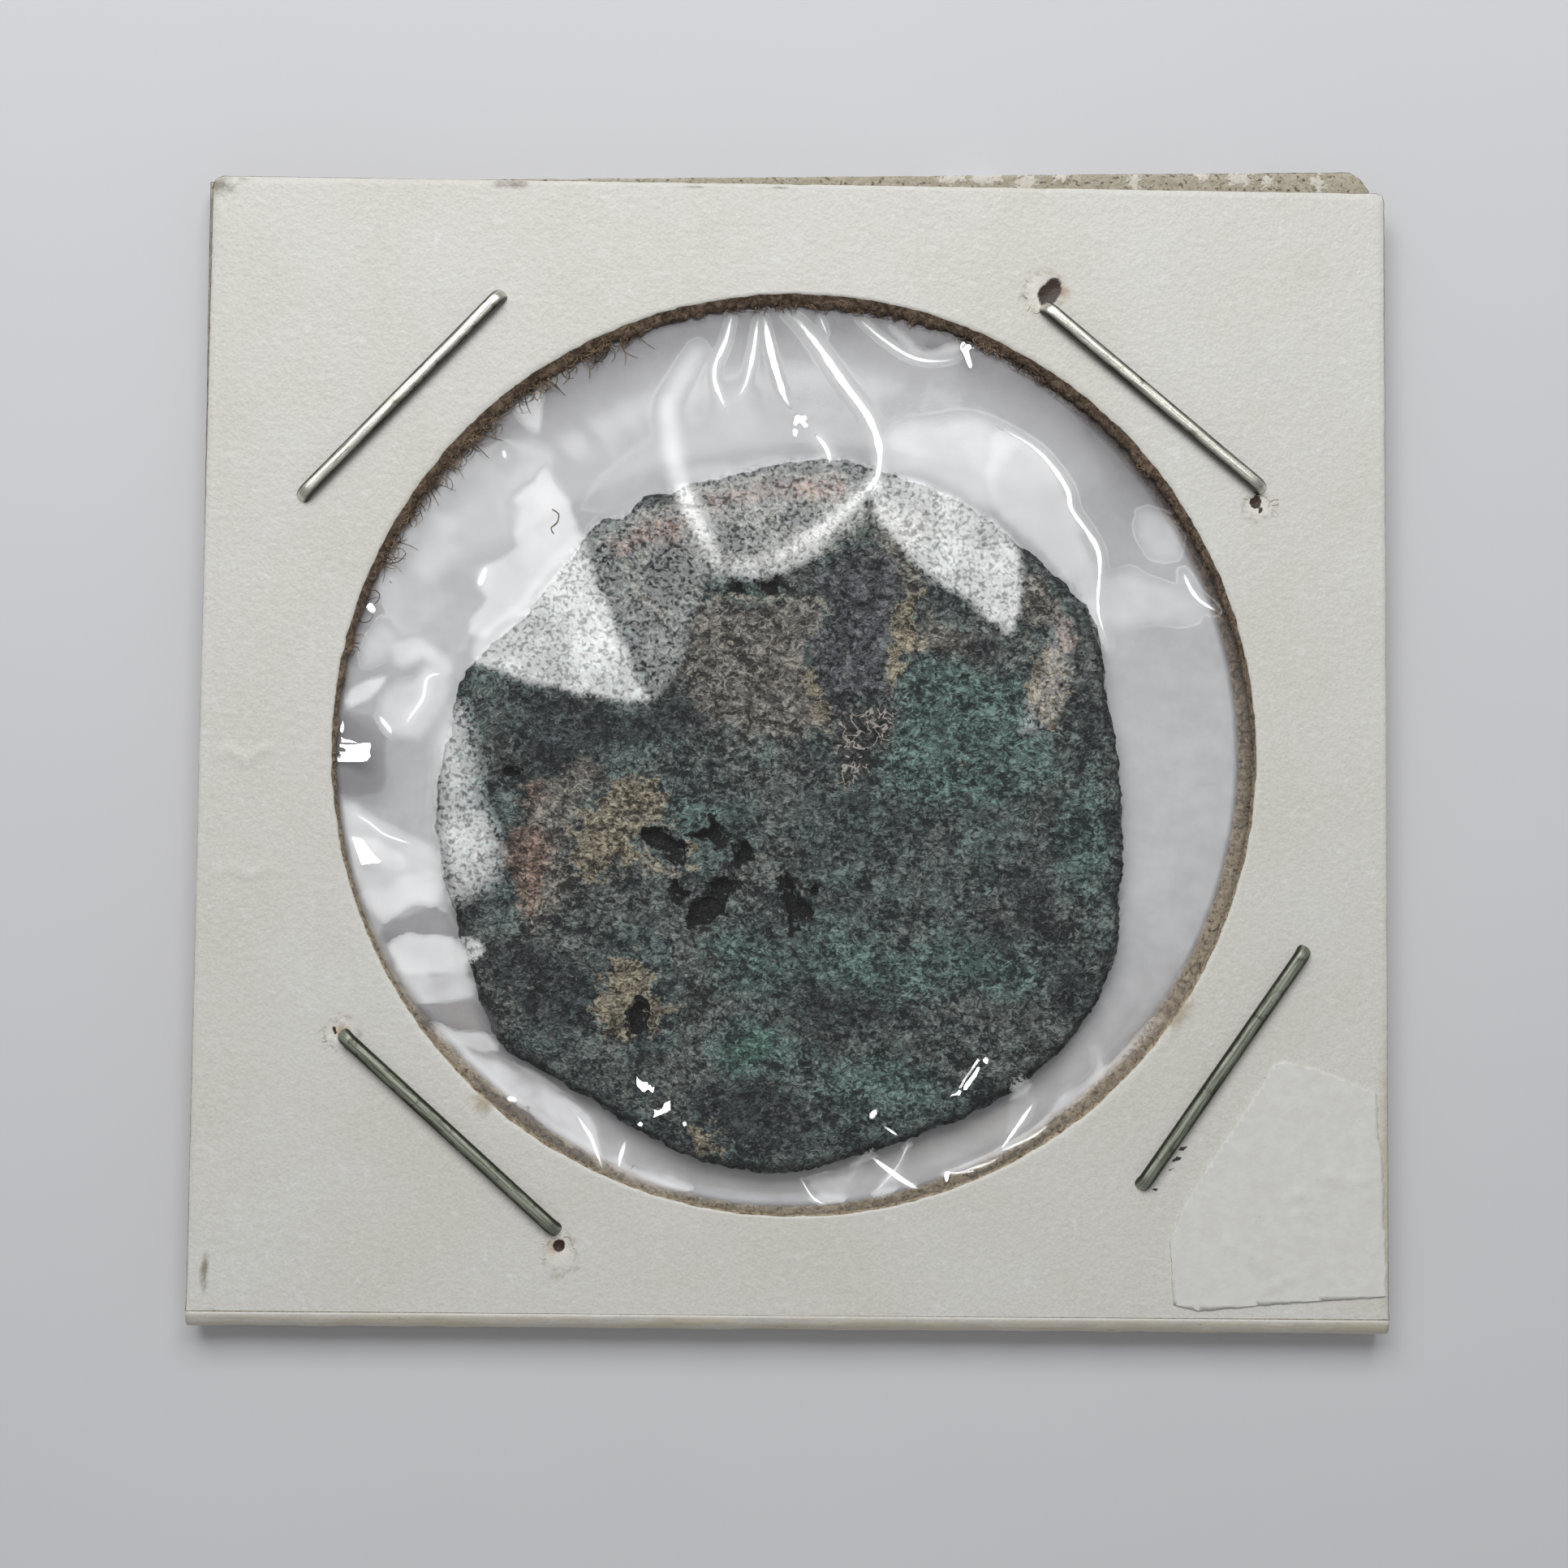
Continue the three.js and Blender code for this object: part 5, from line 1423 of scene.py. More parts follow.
def leaf_mesh(name, corners, window_x, window_at, levels, face_up):
    """A leaf of the board, swept round its window: face, outer edge, other face and the window's cut."""
    low, high = levels if face_up else levels[::-1]
    inward = 1 if face_up else -1
    bm = bmesh.new()
    around = bm.verts.layers.float.new("around")
    shared = bm.verts.layers.float.new("share")
    bottom_left, bottom_right, top_right, top_left = (Vector((x, y, 0)) for x, y in corners)

    def place(share, level):
        def at(vert):
            turn = vert[around]
            east, north = math.cos(turn), math.sin(turn)
            reach = max(abs(east), abs(north))
            across, along = (east / reach + 1) / 2, (north / reach + 1) / 2
            edge = bottom_left.lerp(bottom_right, across).lerp(top_left.lerp(top_right, across), along)
            radius = window_at(turn)
            rim = Vector((window_x + radius * east, radius * north, 0))
            vert[shared] = share
            point = rim.lerp(edge, share)
            point.z = level
            return point

        return at

    # each station: share of the way from the window to the outer edge, level, finish
    soft = LEAF_SOFTNESS * inward
    shares = [0.012, 0.03, 0.055, *np.linspace(0.085, 0.93, LEAF_RINGS), 0.96, 0.985]
    stations = [(share, high, 0) for share in shares]
    stations += [(0.996, high - soft, 0), (1, high - 2.5 * soft, 2), (1, (low + high) / 2, 2)]
    stations += [(1, low + 2.5 * soft, 2), (0.996, low + soft, 2), (0.985, low, 2)]
    stations += [(share, low, 1) for share in (0.9, 0.7, 0.5, 0.3, 0.15, 0.08, 0.04, 0.015)]
    stations += [(0.003, low + soft, 1), (0, low + 2.5 * soft, 2), (0, (low + high) / 2, 2)]
    stations += [(0, high - 2.5 * soft, 2), (0.003, high - soft, 2)]
    ring = bmesh.ops.create_circle(bm, cap_ends=False, segments=LEAF_SIDES, radius=1)["verts"]
    for vert in ring:
        vert[around] = math.atan2(vert.co.y, vert.co.x)
    first = place(*stations[0][:2])
    for vert in ring:
        vert.co = first(vert)
    start = bm.edges[:]
    edges = start
    for share, level, finish in stations[1:]:
        edges = grow(bm, edges, place(share, level), finish)
    bridged = bmesh.ops.bridge_loops(bm, edges=start + edges)["faces"]
    for face in bridged:
        face.material_index = 0
    return to_mesh(bm, name)


def ragged_edges(mesh, rim_size, edge_size, seed):
    """Roughens the window's cut and the outer edge of a leaf."""
    points = places(mesh)
    share = painted(mesh, "share")
    turn = painted(mesh, "around")
    outward = np.stack([np.cos(turn), np.sin(turn)], 1)
    jitter = lumps(points, 0.5, seed, 3)
    at_rim = ease(share, 0.03, 0.0)
    at_edge = ease(share, 0.955, 1.0) * ease(points[:, 1], FOLD_LINE + 0.3, FOLD_LINE + 1.5)
    points[:, :2] += outward * (rim_size * jitter * at_rim)[:, None]
    points[:, :2] -= outward * (edge_size * np.abs(lumps(points, 0.8, seed + 1, 3)) * at_edge)[:, None]
    return points


def torn_core(turn):
    """How far the front leaf's brown core sticks out into the window beyond its white face."""
    return swells(np.degrees(turn), CORE_REACH, CORE_LEAST)


def back_rim(turn):
    """The back window's uneven cut: how far it is from the window's middle."""
    return BACK_WINDOW_RADIUS - swells(np.degrees(turn), BACK_CUT_REACH)


def make_front_leaf():
    """The front leaf, with its torn core, worn corners, ridges and dents, and painted with its marks."""
    corners = [(-RIGHT, FOLD_LINE), (RIGHT, FOLD_LINE), (RIGHT, TOP), (-RIGHT, TOP)]
    mesh = leaf_mesh("front_board", corners, 0.0, lambda turn: WINDOW_RADIUS, FRONT_LEVELS, True)
    points = ragged_edges(mesh, 0.05, 0.04, 31)
    flat = points[:, :2]
    turn, share = painted(mesh, "around"), painted(mesh, "share")
    sunk = ease(FRONT_LEVELS[1] - points[:, 2], 0.04, 0.4) * ease(share, 0.03, 0.004)
    torn = torn_core(turn) * (1 + 0.5 * lumps(points, 0.35, 32, 3)) * sunk
    points[:, :2] -= np.stack([np.cos(turn), np.sin(turn)], 1) * torn[:, None]
    for x, y, wear in WORN_CORNERS:
        corner = np.array([x - math.copysign(wear, x), y - wear])
        beyond = (flat - corner) * np.sign([x, y])
        out = (beyond > 0).all(1)
        length = np.linalg.norm(beyond[out], axis=1)
        box = beyond[out].max(1)
        scale = np.where(length > 1e-9, box / np.clip(length, 1e-9, None), 1)
        points[out, :2] = corner + beyond[out] * scale[:, None] * np.sign([x, y])
    upper = points[:, 2] > MIDDLE + 0.45
    face = upper & (points[:, 2] > FRONT_LEVELS[1] - 0.2) & (points[:, 1] > FOLD_LINE + 0.2)
    rise = np.zeros(len(points))
    for height, half, knots in FACE_RIDGES:
        away, along = line_distance(flat[face], smooth_line(knots, 0.3))
        rise[face] += height * np.exp(-((away / half) ** 2)) * np.sin(np.pi * (0.1 + 0.8 * along))
    rise[face] -= HOLE_DENT * ease(patches(flat[face], STAINS["torn"]), -0.2, 0.8)
    rise[face] += FACE_WAVES * lumps(points[face], 2.5, 33, 3)
    points[:, 2] += rise
    # the face runs on into the fold without a step
    at_fold = upper & (points[:, 1] < FOLD_LINE + 0.2)
    points[at_fold, 2] = FRONT_LEVELS[1]
    put(mesh, points)
    for name, rows in STAINS.items():
        paint(mesh, name, patches(flat, rows))
    paint(mesh, "bits", np.full(len(points), OFF_OVAL))
    finishes = [board_face(), kraft("board_inside", False), kraft("board_cut", True)]
    return settle(mesh, "holder", finishes, ["front_leaf"])


def make_back_leaf():
    """The back leaf, folded askew, with a rounded corner and bits of white paper on its open edge."""
    corners = [(-RIGHT, FOLD_LINE), (RIGHT, FOLD_LINE), BACK_TOP_RIGHT, BACK_TOP_LEFT]
    mesh = leaf_mesh("back_board", corners, BACK_WINDOW_X, back_rim, BACK_LEVELS, True)
    points = ragged_edges(mesh, 0.16, 0.05, 41)
    flat = points[:, :2]
    near = np.linalg.norm(flat - np.array(BACK_TOP_RIGHT), axis=1)
    points[:, :2] -= np.array([0.35, 0.3]) * ease(near, 0.9, 0.0)[:, None]
    put(mesh, points)
    paint(mesh, "bits", patches(flat, PAPER_BITS))
    finishes = [kraft("back_inside", False), board_face_plain(), kraft("back_cut", True)]
    return settle(mesh, "holder", finishes, ["back_leaf"])


def board_colour(finish):
    """White-faced board, mottled, with fine flecks and painted highlights: its colour and its pebbled height.
    """
    pebble = finish.grain(3.2, 3.0, 0.6)
    fine = finish.grain(8.0, 2.0, 0.5)
    cloud = finish.grain(0.16, 3.0, 0.55).rise(0.3, 0.7)
    tone = (pebble * 0.4 + fine * 0.6).rise(0.3, 0.7)
    clean = finish.mix(ink(227, 226, 219), ink(238, 238, 232), tone)
    aged = finish.mix(ink(222, 220, 210), ink(234, 232, 223), tone)
    body = finish.mix(clean, aged, cloud)
    flecks = finish.grain(1.7, 5.0, 0.8).rise(0.69, 0.75)
    body = finish.mix(body, ink(150, 146, 134), flecks * 0.5)
    # pale specks: painted highlights of the board's pebbled gloss
    painted_gleam_specks = finish.grain(1.9, 4.0, 0.7, 0.6).rise(0.58, 0.68)
    body = finish.mix(body, ink(246, 246, 243), painted_gleam_specks * 0.5)
    return body, pebble * 0.75 + fine * 0.25


def board_face():
    """The front leaf's white face with its marks: for each, its ink and how strong it is."""
    finish = Finish("board_face")
    body, pebbled = board_colour(finish)
    ragged = (finish.grain(2.2, 4.0, 0.7) - 0.5) * 1.4
    for name, colour, strength in (
        ("cream", ink(206, 196, 170), 0.75),
        ("glue", ink(168, 152, 114), 0.7),
        ("olive", ink(112, 104, 76), 0.7),
        ("umber", ink(118, 96, 76), 0.7),
        ("frayed", ink(246, 242, 232), 0.9),
        ("scorched", ink(186, 152, 120), 0.7),
        ("torn", ink(62, 46, 34), 1.0),
        ("ink", ink(34, 32, 36), 0.95),
    ):
        sharp = name in ("ink", "torn")
        depth = finish.painted(name) + ragged * (0.4 if sharp else 1.0)
        body = finish.mix(body, colour, depth.rise(0.0, 0.2 if sharp else 0.9) * strength)
        if name == "frayed":
            border = 1 - (depth - 0.1).size().rise(0.04, 0.3)
            body = finish.mix(body, ink(172, 160, 138), border * pebbled.rise(0.42, 0.6) * 0.45)
    normal = finish.bump(pebbled, 0.07, 0.7)
    return finish.surface(base_color=body, roughness=0.42, normal=normal, ior=1.45)


def board_face_plain():
    """The white face of the board where nothing is spilt on it: the back and the fold."""
    finish = Finish("board_face_plain")
    body, pebbled = board_colour(finish)
    normal = finish.bump(pebbled, 0.05, 0.45)
    return finish.surface(base_color=body, roughness=0.5, normal=normal, ior=1.45)


def kraft(name, cut):
    """The board's brown inside: paler on the sheet, darker and rougher at a cut."""
    finish = Finish(name)
    x, y, _ = finish.axes()
    fibres = finish.grain(2.6, 4.0, 0.7, 1.5)
    specks = finish.grain(5.0, 2.0, 0.6)
    high = y.rise(-9.0, 9.0)
    reach = (x * x + y * y) ** 0.5
    at_window = 1 - reach.rise(WINDOW_RADIUS - 0.4, WINDOW_RADIUS + 0.7)
    sheet = finish.mix(ink(176, 166, 142), ink(206, 200, 184), fibres.rise(0.3, 0.7))
    # darker towards the top of the card: partly darker torn fibres, partly painted shade of the window's
    # upper cut
    lower = finish.mix(ink(120, 102, 82), ink(206, 190, 162), fibres.rise(0.3, 0.65))
    upper = finish.mix(ink(76, 60, 48), ink(166, 144, 120), fibres.rise(0.34, 0.76))
    dark = finish.mix(lower, upper, high)
    body = dark if cut else finish.mix(sheet, dark, at_window)
    body = finish.mix(body, ink(60, 46, 34), specks.rise(0.57, 0.66) * 0.7)
    bits = finish.painted("bits") + (fibres - 0.5) * 4
    body = finish.mix(body, ink(232, 228, 216), bits.rise(0.0, 0.4))
    normal = finish.bump(fibres, 0.09, 0.8)
    return finish.surface(base_color=body, roughness=0.85, normal=normal)


def make_fold():
    """The board where it turns over, worn along its crest."""
    bm = bmesh.new()
    ends = [bm.verts.new((x, FOLD_LINE, FRONT_LEVELS[1])) for x in (-RIGHT, RIGHT)]
    bm.edges.new(ends)
    bmesh.ops.subdivide_edges(bm, edges=bm.edges[:], cuts=239)
    bmesh.ops.spin(
        bm, geom=bm.verts[:] + bm.edges[:], cent=(0, FOLD_LINE, MIDDLE), axis=(1, 0, 0), dvec=(0, 0, 0),
        angle=math.pi, steps=16, use_merge=False, use_duplicate=False,
    )
    bmesh.ops.recalc_face_normals(bm, faces=bm.faces)
    outside = bm.faces[:]
    first = outside[0].calc_center_median()
    if outside[0].normal.dot(first - Vector((first.x, FOLD_LINE, MIDDLE))) < 0:
        bmesh.ops.reverse_faces(bm, faces=outside)
    bmesh.ops.solidify(bm, geom=outside, thickness=BOARD)
    mesh = to_mesh(bm, "fold_board")
    points = places(mesh)
    centre = np.array([FOLD_LINE, MIDDLE])
    arm = points[:, 1:] - centre
    reach = np.linalg.norm(arm, axis=1)
    outer = reach > FOLD_RADIUS - 0.1
    rounded = ease(-arm[:, 0] / reach, 0.05, 0.5)
    wear = 0.999 + 0.05 * rounded * np.where(outer, np.minimum(lumps(points, 1.4, 51, 4) - 0.9, 0), 0)
    points[:, 1:] = centre + arm * wear[:, None]
    put(mesh, points)
    return settle(mesh, "holder", [fold_finish()], ["fold_strip"])


def fold_finish():
    """The white face where it turns over: streaked along the fold, and worn to brown in places."""
    finish = Finish("board_fold")
    body, pebbled = board_colour(finish)
    _, y, _ = finish.axes()
    # cream streaks where the fold turns down: partly yellowed board, partly painted shade away from the light
    turned = 1 - y.rise(FOLD_LINE - 0.35, FOLD_LINE + 0.05)
    streaks = finish.grain(1.0, 4.0, 0.7, at=finish.stretched((0.25, 2.5, 2.5)))
    body = finish.mix(body, ink(224, 213, 186), streaks.rise(0.3, 0.6) * turned * 0.8)
    worn = finish.grain(1.0, 5.0, 0.75, at=finish.stretched((0.8, 3.0, 3.0))).rise(0.6, 0.7)
    body = finish.mix(body, ink(150, 130, 100), worn * 0.5)
    normal = finish.bump(pebbled + streaks, 0.05, 0.6)
    return finish.surface(base_color=body, roughness=0.6, normal=normal)


# The paper label


LABEL_LIFT = 0.004
LABEL_THICKNESS = 0.05
LABEL_WAVES = 0.015
LABEL_FRAY = 0.07
LABEL_CREASE, LABEL_CREASE_WIDTH = 0.06, 0.11

# The cuts that part it into small squares: where they start and end, across and along, and their step
LABEL_CUTS = ((16.17, 25.4), (-23.53, -12.9))
LABEL_STEP = 0.22

# The label's torn side, from its place beside the lower right staple, and then its cut sides
LABEL_OUTLINE = [
    (16.2, -23.3), (16.15, -21.6), (16.1, -20.6), (16.6, -19.2), (17.7, -17.4), (18.9, -15.6), (19.9, -14.1),
    (20.4, -13.2), (20.9, -13.0), (22.2, -13.3), (23.8, -13.9), (24.9, -14.4), (24.9, -15.6), (25.1, -17.6),
    (25.2, -20.4), (25.2, -22.9), (21.0, -23.2), (17.2, -23.55),
]
LABEL_CREASES = [
    [(18.24, -20.58), (19.79, -21.38), (21.17, -22.15)], [(21.35, -18.85), (21.69, -18.57), (22.04, -18.74)],
    [(22.38, -18.06), (22.83, -17.85), (23.25, -18.05)], [(23.76, -18.15), (24.28, -17.94), (24.7, -18.04)],
    [(21.24, -19.6), (21.59, -19.39), (21.93, -19.49)], [(21.34, -20.11), (21.86, -20.34), (22.38, -20.61)],
    [(20.06, -22.67), (20.62, -22.43), (21.17, -22.15)],
]


def make_label():
    """The torn paper, cut into small squares so that it can crinkle, then thickened upwards."""
    bm = bmesh.new()
    level = FRONT_LEVELS[1] + LABEL_LIFT
    corners = [Vector((x, y, 0)) for x, y in LABEL_OUTLINE]
    outline = [
        tuple(start.lerp(end, step / 8).xy) for start, end in zip(corners, corners[1:] + corners[:1])
        for step in range(8)
    ]
    bm.faces.new([bm.verts.new((x, y, level)) for x, y in outline])
    for normal, (low, high) in zip((Vector((1, 0, 0)), Vector((0, 1, 0))), LABEL_CUTS):
        for cut in np.arange(low, high, LABEL_STEP):
            bmesh.ops.bisect_plane(
                bm, geom=bm.verts[:] + bm.edges[:] + bm.faces[:], dist=1e-5,
                plane_co=normal * cut, plane_no=normal,
            )
    raised = bmesh.ops.extrude_face_region(bm, geom=bm.faces[:])["geom"]
    for part in raised:
        if isinstance(part, bmesh.types.BMVert):
            part.co.z += LABEL_THICKNESS
    mesh = to_mesh(bm, "label_sheet")
    points = places(mesh)
    flat = points[:, :2]
    rise = LABEL_WAVES * (1 + lumps(points * [1, 1, 0], 2.6, 61, 3))
    for line in LABEL_CREASES:
        away, _ = line_distance(flat, smooth_line(line, 0.3))
        rise += LABEL_CREASE * np.exp(-((away / LABEL_CREASE_WIDTH) ** 2))
    points[:, 2] += rise
    away, _ = line_distance(flat, np.array(LABEL_OUTLINE), closed=True)
    frayed = LABEL_FRAY * lumps(points * [1, 1, 0], 0.5, 62, 3) * ease(away, 0.2, 0.0)
    points[:, :2] += frayed[:, None] * [1, 0.6]
    points[:, 0] = np.minimum(points[:, 0], RIGHT - 0.05)
    put(mesh, points)
    return settle(mesh, "holder", [label_finish()], ["paper_label"])


def label_finish():
    """Thin white paper with a few dark flecks."""
    finish = Finish("label_paper")
    fibres = finish.grain(1.6, 5.0, 0.65)
    body = finish.mix(ink(232, 231, 224), ink(239, 239, 234), fibres.rise(0.3, 0.7))
    flecks = finish.grain(1.4, 3.0, 0.7).rise(0.72, 0.76)
    body = finish.mix(body, ink(140, 132, 116), flecks * 0.5)
    normal = finish.bump(finish.grain(3.4, 4.0, 0.6), 0.04, 0.5)
    return finish.surface(base_color=body, roughness=0.6, normal=normal)


# The staples


STAPLE_CROWN = 12.6
WIRE_WIDTH = 0.62
WIRE_THICKNESS = 0.5
WIRE_FULLNESS = 2.5
STAPLE_BEND = 0.65
STAPLE_CLINCH = 4.4
BEND_STEPS = 6
LEG_STEPS = 10
RISE_STEPS = 3
CROWN_STEPS = 60

# Each staple: its direction from the window's middle, how far it is from the window's edge, how the crown is
# turned, and its material
STAPLES = {
    "staple_top_left": (138.5, 3.0, 46.7, "bright_steel"),
    "staple_top_right": (45.2, 1.95, -39.8, "bright_steel"),
    "staple_bottom_left": (-131.5, 2.05, -41.7, "dull_steel"),
    "staple_bottom_right": (-36.0, 2.9, 55.2, "dull_steel"),
}


def make_staple(name, direction, from_window, turn, finish):
    """A wire section pulled along the staple: clinched leg, up through the card, the crown and down again."""
    bm = bmesh.new()
    along = bm.verts.layers.float.new("along")
    across = bm.verts.layers.float.new("across")
    ring = bmesh.ops.create_circle(bm, cap_ends=True, segments=20, radius=1)["verts"]
    half = STAPLE_CROWN / 2
    tip = half - STAPLE_CLINCH
    bend = half - STAPLE_BEND
    crown_high = FRONT_LEVELS[1] + WIRE_THICKNESS
    mid = WIRE_THICKNESS / 2
    high_bend = crown_high - STAPLE_BEND
    for vert in ring:
        east, north = vert.co.x, vert.co.y
        fuller = (abs(east) ** WIRE_FULLNESS + abs(north) ** WIRE_FULLNESS) ** (-1 / WIRE_FULLNESS)
        vert.co = (-tip, 0.5 * WIRE_WIDTH * east * fuller, mid + 0.995 * mid * north * fuller)
    part = list(bm.verts) + list(bm.edges) + list(bm.faces)

    def pull(part, centre=(0, 0, 0), turned=0.0, shift=(0, 0, 0), steps=1):
        return bmesh.ops.spin(
            bm, geom=part, cent=centre, axis=(0, 1, 0), dvec=shift, angle=turned, steps=steps,
            use_merge=False, use_duplicate=False,
        )["geom_last"]

    run = (bend - tip) / LEG_STEPS
    climb = (high_bend - STAPLE_BEND) / RISE_STEPS

    def turn_over(part, x, z):
        return pull(part, centre=(x, 0, z), turned=math.pi / 2, steps=BEND_STEPS)

    part = pull(part, shift=(-run, 0, 0), steps=LEG_STEPS)
    part = turn_over(part, -bend, STAPLE_BEND)
    part = pull(part, shift=(0, 0, climb), steps=RISE_STEPS)
    part = turn_over(part, -bend, high_bend)
    part = pull(part, shift=(2 * bend / CROWN_STEPS, 0, 0), steps=CROWN_STEPS)
    part = turn_over(part, bend, high_bend)
    part = pull(part, shift=(0, 0, -climb), steps=RISE_STEPS)
    part = turn_over(part, bend, STAPLE_BEND)
    pull(part, shift=(-run, 0, 0), steps=LEG_STEPS)
    for vert in bm.verts:
        vert[along] = vert.co.x
        vert[across] = vert.co.y
    distance = WINDOW_RADIUS + from_window
    middle = Vector((math.cos(math.radians(direction)), math.sin(math.radians(direction)), 0)) * distance
    bmesh.ops.rotate(bm, cent=(0, 0, 0), matrix=Matrix.Rotation(math.radians(turn), 3, "Z"), verts=bm.verts)
    bmesh.ops.translate(bm, vec=middle, verts=bm.verts)
    mesh = to_mesh(bm, name + "_wire")
    return settle(mesh, "holder", [finish], [name])


def steel(name, light, dark, tarnish, dullness):
    """Drawn wire: streaks along it, and painted shade along its sides, where the round wire turns from the
    light.
    """
    finish = Finish(name)
    along, across = finish.painted("along"), finish.painted("across")
    line = finish.direction(along * 0.35, across * 9.0, 0.0)
    streak = finish.grain(1.0, 3.0, 0.6, at=line)
    spots = finish.grain(2.2, 4.0, 0.7)
    body = finish.mix(dark, light, streak.rise(0.3, 0.62))
    body = finish.mix(body, tarnish, spots.rise(0.55, 0.72) * 0.75)
    # painted shade along both sides of the wire
    sides = (across.size() + (spots - 0.5) * 0.1).rise(0.13, 0.27)
    body = finish.mix(body, ink(46, 45, 36), sides * 0.92)
    normal = finish.bump(streak * 0.7 + spots * 0.3, 0.04, 0.8)
    return finish.surface(base_color=body, metallic=0.85, roughness=dullness + spots * 0.2, normal=normal)


def make_staples():
    bright = steel("bright_wire", ink(246, 244, 232), ink(168, 168, 156), ink(140, 136, 112), 0.26)
    dull = steel("dull_wire", ink(176, 182, 166), ink(92, 96, 80), ink(70, 70, 54), 0.42)
    for name, (direction, from_window, turn, slot) in STAPLES.items():
        make_staple(name, direction, from_window, turn, bright if slot == "bright_steel" else dull)


# Loose fibres


RIM_FIBRES = 540
HOLE_FIBRES = 22
FIBRES_TO_A_TUFT = 5
FIBRE_STEPS = 5
HAIR_LIFT = 0.03
HAIR_WIDTH = 0.05

# The stretches of the front and of the back window's cut that fibres stick out of, in degrees. The one with
# the most fibres is named twice
FRONT_TORN = ((20, 100), (112, 158), (112, 158), (-20, 190))
BACK_TORN = ((-180, 0), (20, 160))

# Loose hairs that lie on the front film
HAIRS = [
    [(-10.52, 10.22), (-10.24, 10.01), (-10.3, 9.63), (-10.55, 9.41), (-10.44, 9.16)],
    [(-16.4, 10.2), (-16.7, 9.8), (-16.6, 9.5)],
]


def make_fibres():
    """Fibres torn from the board round the windows' cuts and the staples' holes."""
    draw = random.Random(7)
    brown = new_strands()

    def fibre(bm, start, heading, length, curl, thick):
        line = [Vector(start)]
        for _ in range(FIBRE_STEPS):
            heading += curl * draw.uniform(0.2, 1.4)
            ahead = Vector((math.cos(heading), math.sin(heading), draw.uniform(-0.15, 0.2)))
            line.append(line[-1] + ahead * (length / FIBRE_STEPS))
        widths = [thick * (1 - 0.12 * index) for index in range(FIBRE_STEPS + 1)]
        strand(bm, line, widths, widths, 4)

    def front_rim(turn):
        return WINDOW_RADIUS - torn_core(turn)

    front_levels = (FRONT_LEVELS[0] + 0.06, FRONT_LEVELS[0] + 0.3)
    back_levels = (BACK_LEVELS[0] + 0.2, BACK_LEVELS[1])
    for count, torn, x, rim, levels in (
        (RIM_FIBRES, FRONT_TORN, 0.0, front_rim, front_levels),
        (RIM_FIBRES // 3, BACK_TORN, BACK_WINDOW_X, back_rim, back_levels),
    ):
        tufts = [draw.uniform(*draw.choice(torn)) for _ in range(count // FIBRES_TO_A_TUFT)]
        for _ in range(count):
            degrees = draw.choice(tufts) + draw.gauss(0, 1.1)
            turn = math.radians(degrees)
            radius = float(rim(turn)) + draw.uniform(-0.05, 0.12)
            start = (x + radius * math.cos(turn), radius * math.sin(turn), draw.uniform(*levels))
            heading = turn + math.pi + draw.uniform(-1.3, 1.3)
            length = draw.uniform(0.15, 1.2 if 105 < degrees < 165 else 0.5)
            fibre(brown, start, heading, length, draw.uniform(-1.0, 1.0), draw.uniform(0.035, 0.075))
    for knots in HAIRS:
        flat = smooth_line(knots, 0.1)
        height = front_film_top(flat[:, 0], flat[:, 1]) + HAIR_LIFT
        line = [Vector((x, y, z)) for (x, y), z in zip(flat, height)]
        widths = [HAIR_WIDTH] * len(line)
        strand(brown, line, widths, widths, 4)
    mesh = to_mesh(brown, "rim_fibres")
    settle(mesh, "holder", [fibre_finish("fibre_brown", ink(84, 68, 54), ink(150, 128, 104))])

    white = new_strands()
    for x, y, across, along, _ in STAINS["frayed"]:
        torn_side = draw.uniform(0, 2 * math.pi)
        for _ in range(HOLE_FIBRES):
            turn = torn_side + draw.gauss(0, 1.1)
            start = (
                x + across * 0.8 * math.cos(turn), y + along * 0.8 * math.sin(turn),
                FRONT_LEVELS[1] + draw.uniform(-0.04, 0.03),
            )
            heading = turn + draw.uniform(-1.2, 1.2)
            length = draw.uniform(0.15, 0.4)
            fibre(white, start, heading, length, draw.uniform(-0.5, 0.5), 0.045)
    mesh = to_mesh(white, "hole_fibres")
    settle(mesh, "holder", [fibre_finish("fibre_white", ink(208, 200, 184), ink(242, 238, 228))])


def fibre_finish(name, dark, light):
    """Dull paper fibre, between a dark and a light ink."""
    finish = Finish(name)
    body = finish.mix(dark, light, finish.grain(1.4, 3.0, 0.6).rise(0.35, 0.65))
    normal = finish.bump(finish.grain(9.0), 0.01, 0.5)
    return finish.surface(base_color=body, roughness=0.85, normal=normal)


# The stage


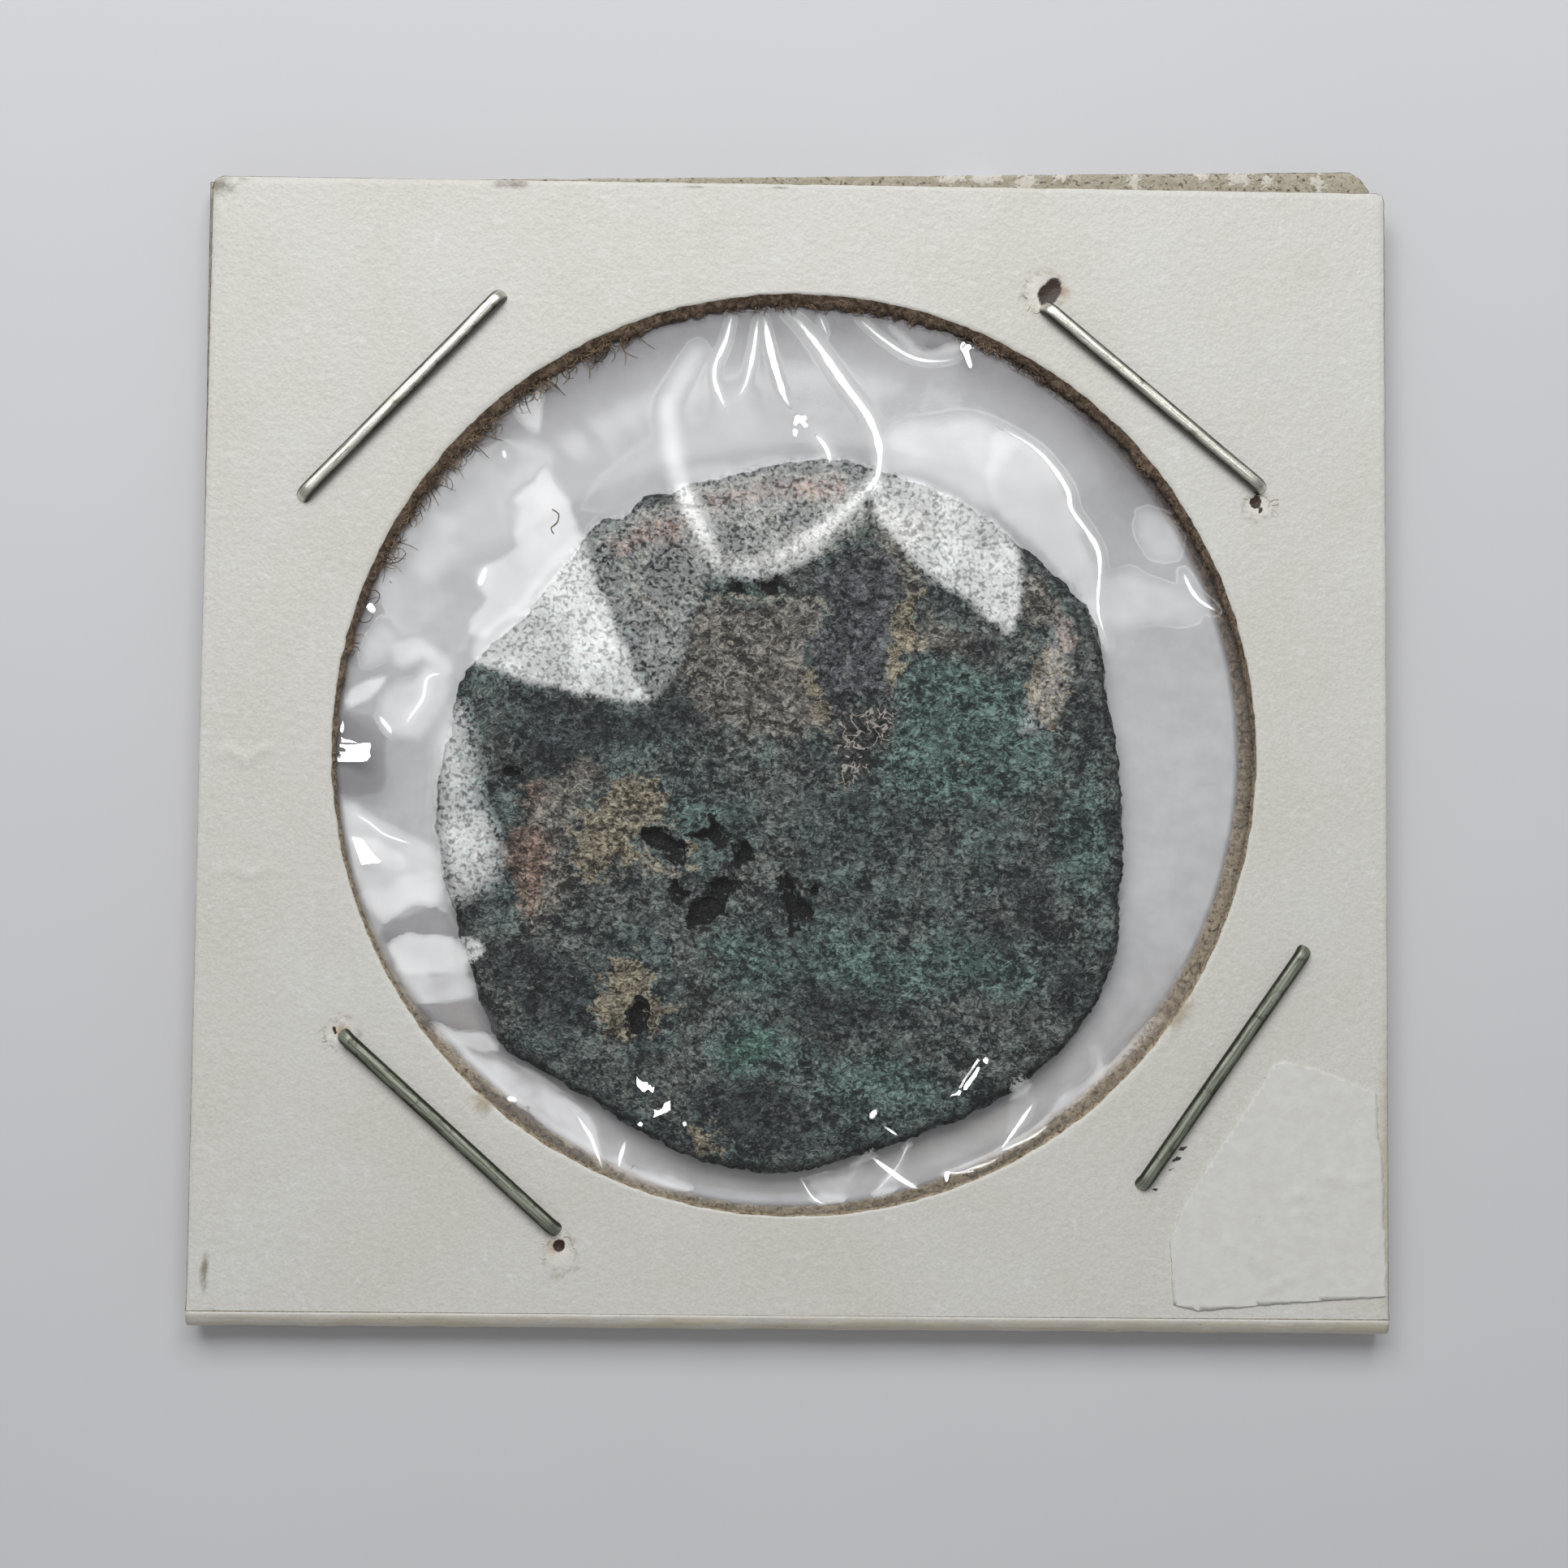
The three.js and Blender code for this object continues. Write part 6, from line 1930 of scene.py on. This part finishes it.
def make_camera():
    """The camera, nearly straight above the card."""
    camera = bpy.data.cameras.new("camera")
    camera.lens = CAMERA_LENS
    camera.sensor_width = SENSOR
    camera.clip_start = 0.001
    camera.clip_end = 20
    holder = bpy.data.objects.new("camera", camera)
    holder.location = Vector(CAMERA_PLACE) * MM
    holder.rotation_euler = [math.radians(angle) for angle in CAMERA_TURN]
    bpy.context.scene.collection.objects.link(holder)
    bpy.context.scene.camera = holder


def make_floor():
    """The pale floor under the card. It belongs to the stage."""
    bm = bmesh.new()
    bmesh.ops.create_grid(bm, x_segments=2, y_segments=2, size=2)
    mesh = bpy.data.meshes.new("floor")
    bm.to_mesh(mesh)
    bm.free()
    finish = Finish("floor")
    cloud = finish.grain(0.05, 3.0, 0.5)
    body = finish.mix(ink(226, 227, 230), ink(231, 232, 235), cloud)
    mesh.materials.append(finish.surface(base_color=body, roughness=0.8))
    floor = bpy.data.objects.new("floor", mesh)
    bpy.context.scene.collection.objects.link(floor)


def area_light(name, tilt, side, away, size, radiance):
    """A flat light that faces the card. Its brightness is that of the panel itself."""
    light = bpy.data.lights.new(name, "AREA")
    light.shape = "RECTANGLE"
    light.size, light.size_y = (length * MM for length in size)
    light.energy = radiance * math.pi * light.size * light.size_y
    lamp = bpy.data.objects.new(name, light)
    across = math.radians(side)
    up = math.radians(tilt)
    heading = Vector((math.sin(across), math.sin(up) * math.cos(across), math.cos(up) * math.cos(across)))
    lamp.location = heading * away * MM
    lamp.rotation_euler = heading.to_track_quat("Z", "Y").to_euler()
    lamp.visible_camera = False
    bpy.context.scene.collection.objects.link(lamp)


def make_light():
    """The room's window, beyond the card's open edge, and the even light of the room."""
    directions = (WINDOW_LIGHT_TILT, WINDOW_LIGHT_SIDE)
    area_light("window_light", *directions, WINDOW_LIGHT_AWAY, WINDOW_LIGHT_SIZE, WINDOW_LIGHT)
    world = bpy.data.worlds.new("room")
    world.use_nodes = True
    background = world.node_tree.nodes["Background"]
    background.inputs["Color"].default_value = (ROOM_LIGHT, ROOM_LIGHT, ROOM_LIGHT * 1.02, 1)
    bpy.context.scene.world = world
    bpy.context.scene.view_settings.view_transform = "Standard"


make_camera()
make_light()
make_floor()
make_coin()
make_front_film()
make_back_film()
make_creases()
make_glints()
make_front_leaf()
make_back_leaf()
make_fold()
make_label()
make_staples()
make_fibres()
